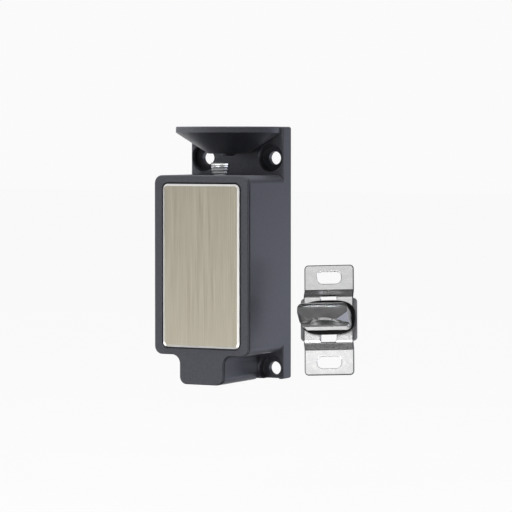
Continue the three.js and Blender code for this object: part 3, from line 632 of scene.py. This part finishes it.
for i, (x, z) in enumerate(COVER_SCREWS, 1):
    finished(countersunk(x, z, COVER_SCREW_HEAD, 29, 2.4, 1.1), f"machine_screw_{i}", f"cover_screw_{i}",
             "lock", "fastener_steel", steel)
for i, (x, z) in enumerate(COIL_SCREWS, 1):
    finished(countersunk(x, z, 0.1, 13.3, 2.5, 1.3), f"rear_screw_{i}", f"solenoid_screw_{i}",
             "lock", "fastener_steel", steel)

# ---------------------------------------------------------------- pin, bush, spring, coil, grommet

PIN_NECK_R = 3.35
PIN_HEAD_R = 3.9
PIN_R = 3.2
PIN_RINGS = 3
COLLAR_Z = 22.9
COLLAR = 0.8
PLUNGER_TOP = 12.7
CROSS_PIN_Z = 9.0


def make_pin():
    """Flared head with polished bands between round-bottomed grooves."""
    pitch = (PIN_TOP - BODY_TOP) / (PIN_RINGS + 1)
    corners = [
        (0, pin_low.z, 0), (2, pin_low.z, 0.3), (2, PLUNGER_TOP + GAP, 0.15),
        (PIN_R, PLUNGER_TOP + GAP, 0.3), (PIN_R, COLLAR_Z - GAP, 0.15), (2.5, COLLAR_Z - GAP, 0.1),
        (2.5, COLLAR_Z + COLLAR + GAP, 0.1), (PIN_R, COLLAR_Z + COLLAR + GAP, 0.15),
        (PIN_R, BODY_TOP - 0.3, 0.3), (PIN_NECK_R, BODY_TOP, 0.2),
    ]
    for ring in range(1, PIN_RINGS + 1):
        z = BODY_TOP + ring * pitch
        r = PIN_NECK_R + (PIN_HEAD_R - PIN_NECK_R) * ring / (PIN_RINGS + 1)
        corners += [(r, z - 0.2, 0.06), (r - 0.24, z, 0.1), (r, z + 0.2, 0.06)]
    corners += [(PIN_HEAD_R, PIN_TOP, 0.35), (0, PIN_TOP, 0)]
    pin = turned(corners, (0, PIN_Y, 0), sides=96)
    return cut(pin, rod(1.1, -20, 20, (0, PIN_Y, CROSS_PIN_Z), "side"))


def make_bush():
    low, high = limits("pin_bush")
    return turned([
        (PIN_R + GAP, low.z, 0.2), (5.2, low.z, 0.3), (5.2, 26.9, 0.1), (6.8, 26.9, 0.25),
        (6.8, 28.2, 0.25), (5.2, 28.2, 0.1), (5.2, high.z, 0.25), (PIN_HEAD_R + GAP, high.z, 0.25),
        (PIN_HEAD_R + GAP, 25.9, 0.1), (PIN_R + GAP, 25.9, 0.1),
    ], (0, PIN_Y, 0))


def make_collar():
    disc = turned([(2.8, COLLAR_Z, 0.1), (6, COLLAR_Z, 0.2), (6, COLLAR_Z + COLLAR, 0.2),
                   (2.8, COLLAR_Z + COLLAR, 0.1)], (0, PIN_Y, 0))
    arm = prism([(rectangle((-11.2, -4), (PIN_Y - 2, PIN_Y + 2), 0.8), z)
                 for z in (COLLAR_Z, COLLAR_Z + COLLAR)], lambda u, v, depth: (u, v, depth))
    return add(disc, arm)


def tube(path, radius, sides=12):
    """Round wire along a list of points, with closed ends."""
    verts, faces = [], []
    side = Vector((0, 0, 1))
    for i, point in enumerate(path):
        ahead = Vector(path[min(i + 1, len(path) - 1)]) - Vector(path[max(i - 1, 0)])
        ahead.normalize()
        side = (side - ahead * side.dot(ahead)).normalized()
        other = ahead.cross(side)
        for k in range(sides):
            angle = 2 * math.pi * k / sides
            verts.append(Vector(point) + side * radius * math.cos(angle) + other * radius * math.sin(angle))
    for i in range(len(path) - 1):
        for k in range(sides):
            j = (k + 1) % sides
            faces.append([i * sides + k, i * sides + j, (i + 1) * sides + j, (i + 1) * sides + k])
    faces.append(list(range(sides)))
    faces.append(list(range(len(verts) - sides, len(verts))))
    return mesh_object("wire", verts, faces)


def make_spring():
    """Compression spring: open turns between a closed turn at each end."""
    low, high = limits("pin_spring")
    wire, turns, per_turn = 0.48, 7.5, 32
    radius = (high.x - low.x) / 2 - wire
    path = []
    for i in range(int(turns * per_turn) + 1):
        t = i / per_turn
        closed = wire * 2 * min(t, 1) + wire * 2 * max(0, t - (turns - 1))
        rise = high.z - low.z - 6 * wire
        z = low.z + wire + closed + rise * min(max((t - 1) / (turns - 2), 0), 1)
        angle = 2 * math.pi * t
        path.append((radius * math.cos(angle), PIN_Y + radius * math.sin(angle), z))
    return tube(path, wire)


def make_winding():
    """Layer-wound coil: the outer layer shows every turn."""
    low, high = limits("coil_winding")
    wire = 0.3
    turns = int((high.z - low.z) / (2 * wire))
    outer = (high.x - low.x) / 2 - wire
    profile = [(5.6, high.z, 0), (5.6, low.z, 0), (outer, low.z, 0)]
    for k in range(turns):
        for step in range(1, 6):
            angle = math.pi * step / 6
            profile.append((outer + wire * math.sin(angle) * 0.96,
                            low.z + wire * (2 * k + 1 - math.cos(angle)), 0))
    profile.append((outer, high.z, 0))
    return turned(profile, (0, PIN_Y, 0), sides=56)


def make_grommet():
    low, high = limits("cable_grommet")
    return turned([
        (1.8, low.z, 0.3), (4.6, low.z, 0.35), (4.6, low.z + 0.8, 0.1), (3.1, low.z + 0.8, 0.1),
        (3.1, low.z + 2.6, 0.1), (4.4, low.z + 2.6, 0.3), (3.6, high.z, 0.3), (1.8, high.z, 0.3),
    ], (0, INLET_Y, 0))


finished(make_pin(), "ringed_locking_pin", "locking_pin", "pin", "fastener_steel", steel)
finished(make_bush(), "flanged_bush", "pin_bush", "lock", "fastener_steel", steel)
finished(make_collar(), "spring_collar", "pin_collar", "pin", "zinc_plate", zinc)
spring_piece = finished(make_spring(), "return_spring", "pin_spring", "lock", "spring_steel", spring, 60)
finished(make_winding(), "wound_coil", "coil_winding", "lock", "copper", copper, 60)
finished(make_grommet(), "inlet_grommet", "cable_grommet", "lock", "rubber", rubber)

# ---------------------------------------------------------------- pieces refined from the CAD

# Slot, material and width of the broken edges, in millimetres.
REFINED = {
    "solenoid_frame": ("soft_iron", iron, 0.2), "coil_bobbin": ("nylon", nylon, 0.1),
    "plunger": ("soft_iron", iron, 0.15), "plunger_cross_pin": ("fastener_steel", steel, 0.1),
    "fixed_core": ("soft_iron", iron, 0.15), "core_nut": ("zinc_plate", zinc, 0.15),
    "circuit_board": ("circuit_board", board, 0.08), "board_screw_1": ("fastener_steel", steel, 0.06),
    "board_screw_2": ("fastener_steel", steel, 0.06),
    "terminal_block": ("green_plastic", green_plastic, 0.15),
    "surge_diode": ("black_plastic", black_plastic, 0.08),
    "status_switch": ("black_plastic", black_plastic, 0.12),
    "lever_pivot_pin": ("fastener_steel", steel, 0.05), "switch_lever": ("spring_steel", spring, 0.05),
    "coil_lead_positive": ("red_sleeve", red_sleeve, 0),
    "coil_lead_negative": ("black_plastic", black_plastic, 0),
}


def refined(node, width):
    """Copy of a CAD node with its flat faces made whole and its edges broken."""
    mesh = frame["nodes"][node].data.copy()
    mesh.materials.clear()
    bm = bmesh.new()
    bm.from_mesh(mesh)
    bmesh.ops.remove_doubles(bm, verts=bm.verts, dist=1e-7)
    bmesh.ops.dissolve_limit(bm, angle_limit=math.radians(1), verts=bm.verts, edges=bm.edges)
    bmesh.ops.recalc_face_normals(bm, faces=bm.faces)
    bm.to_mesh(mesh)
    bm.free()
    obj = bpy.data.objects.new(node, mesh)
    scene.collection.objects.link(obj)
    return bevelled(obj, width) if width else obj


for node, (slot, material, width) in REFINED.items():
    body = frame["nodes"][node]["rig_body"]
    finished(refined(node, width), f"{node}_piece", node, body, slot, material)

# ---------------------------------------------------------------- keeper

joints = {joint["name"]: joint for joint in frame["joints"]}
mounts = {mount["name"]: mount for mount in record["mounts"]}
across = Vector(joints["keeper_float"]["axis"]).normalized()
inward = Vector(mounts["keeper_back_upper"]["axis"]).normalized()
upward = across.cross(inward).normalized()
turn = Matrix((across, inward, upward)).transposed().to_4x4()
KEEPER = Matrix.Translation(joints["keeper_float"]["pos_m"]) @ turn

STRAP_HALF = 9.9
STRAP_END = 22.15
STRAP_CORNER = 1.6
SHEET = 1.2
RAISE = 2.9
STEP_OUTER = 12.0
STEP_INNER = 9.2
TIGHT_BEND = 0.6
WIDE_BEND = 3.0
STRAP_EDGE = 0.4                         # rounding of the strap's sheared edges
SLOT_Z = 17.0
SLOT_HALF = 4.8
SLOT_TALL = 2.4
FLOAT_HALF = 3.2
TONGUE_HALF = 9.8
TONGUE_TOP = 3.5
NOSE = -27.0
ROOT_Y = -17.1
ROOT_BOTTOM = -4.95
PAD_FRONT = -7.0
PAD_RISE = 0.35
ROOT_GROOVE = 0.35
EYE_R = 4.6
EYE_Y = -21.5
EYE_ROOF = 2.0
DISH_R = 7.6
DISH = 1.2
STEM_HALF = 2.0
STEM_TALL = 4.8
STEM_BACK = -2.7
TONGUE_SCREWS = (2.9, -2.9)
THROUGH = (-10, 10)                      # depth of a cutter that goes right through the keeper
CARRIER = (11.25, 8.5)                   # half width and half height of the plate behind the strap
CARRIER_Y = (-2.4, -0.8)
PAD = (10.85, 6.8)                       # half width and half height of the cushion
PAD_POWER = 2 / 3                        # how square its oval is
CUSHION_SIDES = 96


def placed(obj):
    """Moves a keeper piece from the keeper's own axes to its place in the frame."""
    obj.data.transform(KEEPER)
    return obj


def slot_cutter(half_x, z, radius, y=THROUGH):
    return prism([(rectangle((-half_x, half_x), z, radius), depth) for depth in y])


def make_strap():
    """Pressed strap with a raised middle, two slotted flanges and the stem's upright slot."""
    back = SHEET * (math.sqrt(2) - 1)
    tight, wide = TIGHT_BEND, WIDE_BEND
    front = [
        (-SHEET, -STRAP_END, 0), (-SHEET, -STEP_OUTER, tight), (-SHEET - RAISE, -STEP_INNER, wide),
        (-SHEET - RAISE, STEP_INNER, wide), (-SHEET, STEP_OUTER, tight), (-SHEET, STRAP_END, 0),
    ]
    rear = [
        (0, STRAP_END, 0), (0, STEP_OUTER - back, tight + SHEET),
        (-RAISE, STEP_INNER - back, wide - SHEET), (-RAISE, -STEP_INNER + back, wide - SHEET),
        (0, -STEP_OUTER + back, tight + SHEET), (0, -STRAP_END, 0),
    ]
    outline = rounded(rear + front)
    strap = prism([(outline, -STRAP_HALF), (outline, STRAP_HALF)], side_place)
    blank = prism([(rectangle((-STRAP_HALF, STRAP_HALF), (-STRAP_END, STRAP_END), STRAP_CORNER), y)
                   for y in THROUGH])
    slots = [slot_cutter(SLOT_HALF, (z - SLOT_TALL, z + SLOT_TALL), SLOT_TALL - 0.3)
             for z in (SLOT_Z, -SLOT_Z)]
    stem_slot = slot_cutter(FLOAT_HALF + 0.05, (-STEP_INNER, STEP_INNER), 1)
    strap = bevelled(cut(keep(strap, blank), *slots, stem_slot), STRAP_EDGE, 4, clamp=False)
    strap.data.materials.clear()
    strap.data.materials.append(zinc)
    strap.data.materials.append(sheared_edge_and_crease_shade)
    for polygon in strap.data.polygons:
        x, z = abs(polygon.center.x) / MM, abs(polygon.center.z) / MM
        tilted = abs(polygon.normal.y) < 0.995
        sheared_edge = x > STRAP_HALF - 0.5 and abs(polygon.normal.x) > 0.1 or z > STRAP_END - 2 and tilted
        # Painted shade: the tight bends where the flanges turn into the steps take the dark edge zinc.
        painted_bend_shade = abs(z - STEP_OUTER) < tight and tilted
        polygon.material_index = 1 if sheared_edge or painted_bend_shade else 0
    return strap


def make_carrier():
    a, b = CARRIER
    plate = soft_prism(lambda i: rectangle((-a, a), (-b, b), 1.4, i), *CARRIER_Y, 0.2, 0.2)
    notches = [slot_cutter(FLOAT_HALF, z, 0.8) for z in ((-12, -5.6), (5.6, 12))]
    holes = [turned([(0, 0, 0), (2.5, 0, 0), (2.5, 0.9, 0), (1.4, 2.0, 0), (1.4, 5, 0), (0, 5, 0)],
                    (0, 0, z), "front", 40) for z in TONGUE_SCREWS]
    return cut(plate, *notches, *holes)


def make_pad():
    """Full oval cushion with rounded rims and a slot for the stem."""
    def outline(inset):
        a, b = PAD[0] - inset, PAD[1] - inset
        points = []
        for i in range(CUSHION_SIDES):
            angle = 2 * math.pi * i / CUSHION_SIDES
            c, s = math.cos(angle), math.sin(angle)
            points.append((a * math.copysign(abs(c) ** PAD_POWER, c),
                           PAD_RISE + b * math.copysign(abs(s) ** PAD_POWER, s)))
        return points

    pad = soft_prism(outline, PAD_FRONT, -SHEET - RAISE - GAP, 0.7, 0.3, steps=6)
    return cut(pad, slot_cutter(STEM_HALF + 0.1, (-STEM_TALL - 0.1, STEM_TALL + 0.1), 0.65, (-20, 20)))


def corner_cutter(side):
    """Wedge beyond the plane through three edge points of a lower front corner."""
    apex = Vector((side * TONGUE_HALF, NOSE, -TONGUE_TOP))
    reach = [Vector((0, 0, 3)), Vector((-side * 4.4, 0, 0)), Vector((0, 9, 0))]
    middle = sum(reach, Vector()) / 3
    spread = [apex + middle + (r - middle) * 1.5 for r in reach]
    beyond = apex + middle - middle * 2.5
    faces = [[0, 1, 2], [0, 1, 3], [1, 2, 3], [2, 0, 3]]
    return mesh_object("wedge", [*spread, beyond], faces)


def make_tongue():
    """Nose with a blind eye for the pin, a deeper root, and a stem through the strap."""
    root_back = PAD_FRONT - GAP
    side = rounded([
        (NOSE, -TONGUE_TOP, 0.4), (ROOT_Y, -TONGUE_TOP, 0.5), (ROOT_Y, ROOT_BOTTOM, 0.5),
        (root_back, ROOT_BOTTOM, 0), (root_back, TONGUE_TOP, 0), (NOSE, TONGUE_TOP, 2.6),
    ])
    body = prism([(side, -TONGUE_HALF), (side, TONGUE_HALF)], side_place)
    outline = rounded([
        (-TONGUE_HALF, ROOT_BOTTOM, 2.2), (TONGUE_HALF, ROOT_BOTTOM, 2.2),
        (TONGUE_HALF, TONGUE_TOP, 2.6), (-TONGUE_HALF, TONGUE_TOP, 2.6),
    ])
    body = keep(body, prism([(outline, NOSE - 1), (outline, root_back)]))
    stem = soft_prism(lambda i: rectangle((-STEM_HALF, STEM_HALF), (-STEM_TALL, STEM_TALL), 0.6, i),
                      root_back - 1, STEM_BACK, 0, 0.2)
    dish_top = -TONGUE_TOP + DISH + 0.08
    dish = keep(turned([
        (0, -TONGUE_TOP - 2, 0), (DISH_R, -TONGUE_TOP - 2, 0), (DISH_R, -TONGUE_TOP, 0),
        (EYE_R - 0.2, dish_top, 0), (0, dish_top, 0),
    ], (0, EYE_Y, 0)), block((-20, 20), (-40, ROOT_Y), (-20, 20)))
    bore = keep(turned([
        (0, -TONGUE_TOP, 0), (EYE_R, -TONGUE_TOP, 0), (EYE_R, TONGUE_TOP - EYE_ROOF, 0.5),
        (0, TONGUE_TOP - EYE_ROOF, 0),
    ], (0, EYE_Y, 0)), block((-20, 20), (-40, ROOT_Y - 0.15), (-20, 20)))
    groove = block((-20, 20), (ROOT_Y - 0.1, ROOT_Y + ROOT_GROOVE),
                   (-TONGUE_TOP - ROOT_GROOVE, -TONGUE_TOP + 0.05))
    body = cut(body, dish, bore, groove, corner_cutter(-1), corner_cutter(1))
    body = add(bevelled(body, 0.22, 3, 30), stem)
    threads = [rod(1.4, 2, 9.5, (0, 0, z), "front") for z in TONGUE_SCREWS]
    body = cut(body, *threads)
    body.data.materials.clear()
    for material in (cast_zinc, zinc_with_painted_underside_light, matt_zinc_painted_highlight, rough_zinc):
        body.data.materials.append(material)
    for polygon in body.data.polygons:
        middle = polygon.center / MM
        from_eye = math.hypot(middle.x, middle.y - EYE_Y)
        inside = -TONGUE_TOP + DISH - 0.1 < middle.z < TONGUE_TOP - EYE_ROOF + 0.1
        in_bore = EYE_R - 0.4 < from_eye < EYE_R + 0.1 and inside
        under_root = polygon.normal.z < -0.9 and abs(middle.z - ROOT_BOTTOM) < 0.1
        # Painted highlights: the band under the root and the middle strip of the eye bore take the lightest
        # zinc.
        if under_root or in_bore and abs(middle.x) < 2.6:
            polygon.material_index = 2
        # Painted light: the other downward faces and the rest of the bore take zinc lighter than the
        # casting.
        elif polygon.normal.z < -0.6 or in_bore:
            polygon.material_index = 1
        elif polygon.normal.z > 0.8:
            polygon.material_index = 3
    return body


finished(placed(make_strap()), "keeper_strap", "keeper_bracket", "keeper", "zinc_plate", zinc)
# The carrier takes the darker soft-iron finish as painted shade, for the shade it lies in behind the raised
# strap.
finished(placed(make_carrier()), "carrier_plate", "keeper_carrier", "tongue", "soft_iron", iron)
finished(placed(make_pad()), "rubber_cushion", "keeper_pad", "tongue", "rubber", rubber)
crisp(finished(placed(make_tongue()), "cast_tongue", "keeper_tongue", "tongue", "cast_zinc", cast_zinc), 8)
for i, z in enumerate(TONGUE_SCREWS, 1):
    finished(placed(countersunk(0, z, 0.9, 8.8, 2.2, 1.1)), f"stem_screw_{i}", f"tongue_screw_{i}",
             "tongue", "fastener_steel", steel)

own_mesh(spring_piece)

# ---------------------------------------------------------------- floor, light and camera

FLOOR_Z = -0.16                          # metres
FLOOR_HALF = 9000                        # millimetres
BACKDROP = 0.956                         # grey of the paper behind, as the camera sees it
FLOOR_GLOW = 0.945
MIRRORED = 5.0                           # strength of the studio seen in reflections
AMBIENT = 0.04
COOL = (0.94, 0.97, 1.14)                # tint of the room behind on the right
LIT_POINT = (0.01, -0.02, -0.005)

# The studio's grey levels against the height of the direction looked in, from straight down to up.
FRONT_LEVELS = [
    (-1, 0.01), (-0.8, 0.05), (-0.7, 0.08), (-0.6, 0.03), (-0.31, 0.9), (-0.2, 0.34), (-0.1, 0.06),
    (0.1, 0.04), (0.35, 0.155), (0.64, 0.2), (0.75, 0.03), (0.9, 0.02), (1, 0.01),
]
REAR_LEFT_LEVELS = [
    (-1, 0.03), (-0.6, 0.05), (-0.43, 0.08), (-0.355, 0.6), (-0.28, 0.08), (-0.1, 0.14), (0.1, 0.03),
    (0.35, 0.05), (0.7, 0.06), (1, 0.02),
]
REAR_RIGHT_LEVELS = [
    (-1, 0.03), (-0.6, 0.1), (-0.35, 0.16), (-0.1, 0.35), (0.1, 0.04), (0.35, 0.06), (0.7, 0.06),
    (1, 0.02),
]


def make_floor():
    top = FLOOR_Z / MM
    outline = rectangle((-FLOOR_HALF, FLOOR_HALF), (-FLOOR_HALF, FLOOR_HALF), 100)
    floor = prism([(outline, top - 20), (outline, top)], lambda u, v, depth: (u, v, depth), "floor")
    material, tree, shader = node_tree("pale floor")
    tree.links.new(ramp(tree, noise(tree, 4), (0.02, 0.02, 0.02), (0.03, 0.03, 0.03)),
                   shader.inputs["Base Color"])
    shader.inputs["Roughness"].default_value = 0.9
    shader.inputs["Specular IOR Level"].default_value = 0
    shader.inputs["Emission Color"].default_value = (1, 1, 1, 1)
    shader.inputs["Emission Strength"].default_value = FLOOR_GLOW
    floor.data.materials.append(material)
    floor.visible_glossy = False
    floor.visible_diffuse = False


def shade_ramp(tree, factor, low, high, stops, tint=(1, 1, 1)):
    """Levels of one tint at given values of a factor."""
    fit = tree.nodes.new("ShaderNodeMapRange")
    fit.inputs["From Min"].default_value = low
    fit.inputs["From Max"].default_value = high
    node = tree.nodes.new("ShaderNodeValToRGB")
    elements = node.color_ramp.elements
    while len(elements) < len(stops):
        elements.new(0.5)
    for element, (value, level) in zip(elements, stops):
        element.position = (value - low) / (high - low)
        element.color = (*(level * channel for channel in tint), 1)
    tree.links.new(factor, fit.inputs["Value"])
    tree.links.new(fit.outputs["Result"], node.inputs["Fac"])
    return node.outputs["Color"]


def make_world():
    """Studio seen in reflections: a bright table edge and softboxes in front, a darker room behind."""
    world = bpy.data.worlds.new("studio")
    scene.world = world
    world.use_nodes = True
    tree = world.node_tree
    tree.nodes.clear()
    place = tree.nodes.new("ShaderNodeTexCoord")
    split = tree.nodes.new("ShaderNodeSeparateXYZ")
    tree.links.new(place.outputs["Generated"], split.inputs[0])
    depth = tree.nodes.new("ShaderNodeMapRange")
    depth.inputs["From Min"].default_value = -0.25
    depth.inputs["From Max"].default_value = 0.25
    tree.links.new(split.outputs["Y"], depth.inputs["Value"])
    sideways = tree.nodes.new("ShaderNodeMapRange")
    sideways.inputs["From Min"].default_value = -0.2
    sideways.inputs["From Max"].default_value = 0.2
    tree.links.new(split.outputs["X"], sideways.inputs["Value"])
    rear = tree.nodes.new("ShaderNodeMixRGB")
    tree.links.new(sideways.outputs["Result"], rear.inputs["Fac"])
    tree.links.new(shade_ramp(tree, split.outputs["Z"], -1, 1, REAR_LEFT_LEVELS), rear.inputs[1])
    tree.links.new(shade_ramp(tree, split.outputs["Z"], -1, 1, REAR_RIGHT_LEVELS, COOL), rear.inputs[2])
    both = tree.nodes.new("ShaderNodeMixRGB")
    tree.links.new(depth.outputs["Result"], both.inputs["Fac"])
    tree.links.new(shade_ramp(tree, split.outputs["Z"], -1, 1, FRONT_LEVELS), both.inputs[1])
    tree.links.new(rear.outputs[0], both.inputs[2])
    mirrored = tree.nodes.new("ShaderNodeBackground")
    tree.links.new(both.outputs[0], mirrored.inputs["Color"])
    mirrored.inputs["Strength"].default_value = MIRRORED
    ambient = tree.nodes.new("ShaderNodeBackground")
    ambient.inputs["Color"].default_value = (1, 1, 1, 1)
    ambient.inputs["Strength"].default_value = AMBIENT
    seen = tree.nodes.new("ShaderNodeBackground")
    seen.inputs["Color"].default_value = (BACKDROP, BACKDROP, BACKDROP, 1)
    ray = tree.nodes.new("ShaderNodeLightPath")
    first, second = tree.nodes.new("ShaderNodeMixShader"), tree.nodes.new("ShaderNodeMixShader")
    out = tree.nodes.new("ShaderNodeOutputWorld")
    tree.links.new(ray.outputs["Is Glossy Ray"], first.inputs["Fac"])
    tree.links.new(ambient.outputs[0], first.inputs[1])
    tree.links.new(mirrored.outputs[0], first.inputs[2])
    tree.links.new(ray.outputs["Is Camera Ray"], second.inputs["Fac"])
    tree.links.new(first.outputs[0], second.inputs[1])
    tree.links.new(seen.outputs[0], second.inputs[2])
    tree.links.new(second.outputs[0], out.inputs["Surface"])


def softbox(name, at, size, energy, target=LIT_POINT, mirrored=False, spread=180):
    light = bpy.data.lights.new(name, "AREA")
    light.shape = "RECTANGLE"
    light.size, light.size_y = size
    light.energy = energy
    light.spread = math.radians(spread)
    lamp = bpy.data.objects.new(name, light)
    lamp.location = at
    lamp.rotation_euler = (Vector(target) - Vector(at)).to_track_quat("-Z", "Y").to_euler()
    lamp.visible_camera = False
    lamp.visible_glossy = mirrored
    scene.collection.objects.link(lamp)


make_floor()
make_world()
softbox("left", (-1.1, -0.35, 0), (0.4, 0.8), 18)
softbox("overhead", (0, -0.25, 1.2), (0.6, 0.6), 25.6)

CAMERA_PLACE = (0.50475, -0.97740, 0.04470)
CAMERA_PITCH = math.radians(2.42)
CAMERA_AZIMUTH = math.radians(27.08)
LENS = 189.84
LOOK = Vector((-math.sin(CAMERA_AZIMUTH) * math.cos(CAMERA_PITCH),
               math.cos(CAMERA_AZIMUTH) * math.cos(CAMERA_PITCH), -math.sin(CAMERA_PITCH)))


def mirror_way(facing):
    """Direction in which a camera ray leaves a surface that faces a given way."""
    return LOOK - 2 * LOOK.dot(facing) * facing


# Small cards that light the tongue's rounded top edge, the underside of its root and the lower flange.
edge_point = KEEPER @ (Vector((0, NOSE + 0.3, TONGUE_TOP - 1.6)) * MM)
edge_card = edge_point + mirror_way(KEEPER.to_3x3() @ Vector((0, -0.92, 0.4)).normalized()) * 0.06
softbox("edge card", edge_card, (0.012, 0.006), 0.0002, edge_point, True, 12)
root_point = KEEPER @ (Vector((0, (ROOT_Y + PAD_FRONT) / 2, ROOT_BOTTOM)) * MM)
root_card = root_point + Vector((0.01, -0.055, -0.07))
softbox("root card", root_card, (0.02, 0.02), 0.0055, root_point, spread=40)
flange_point = KEEPER @ (Vector((0, -SHEET, -SLOT_Z - 1)) * MM)
flange_card = flange_point + mirror_way(KEEPER.to_3x3() @ Vector((0, -1, 0))) * 0.06
softbox("flange card", flange_card, (0.03, 0.014), 0.0007, flange_point, True)

lens = bpy.data.cameras.new("camera")
lens.lens = LENS
lens.clip_end = 50
camera = bpy.data.objects.new("camera", lens)
camera.location = CAMERA_PLACE
camera.rotation_euler = (math.pi / 2 - CAMERA_PITCH, 0, CAMERA_AZIMUTH)
scene.collection.objects.link(camera)
scene.camera = camera
scene.view_settings.view_transform = "Standard"
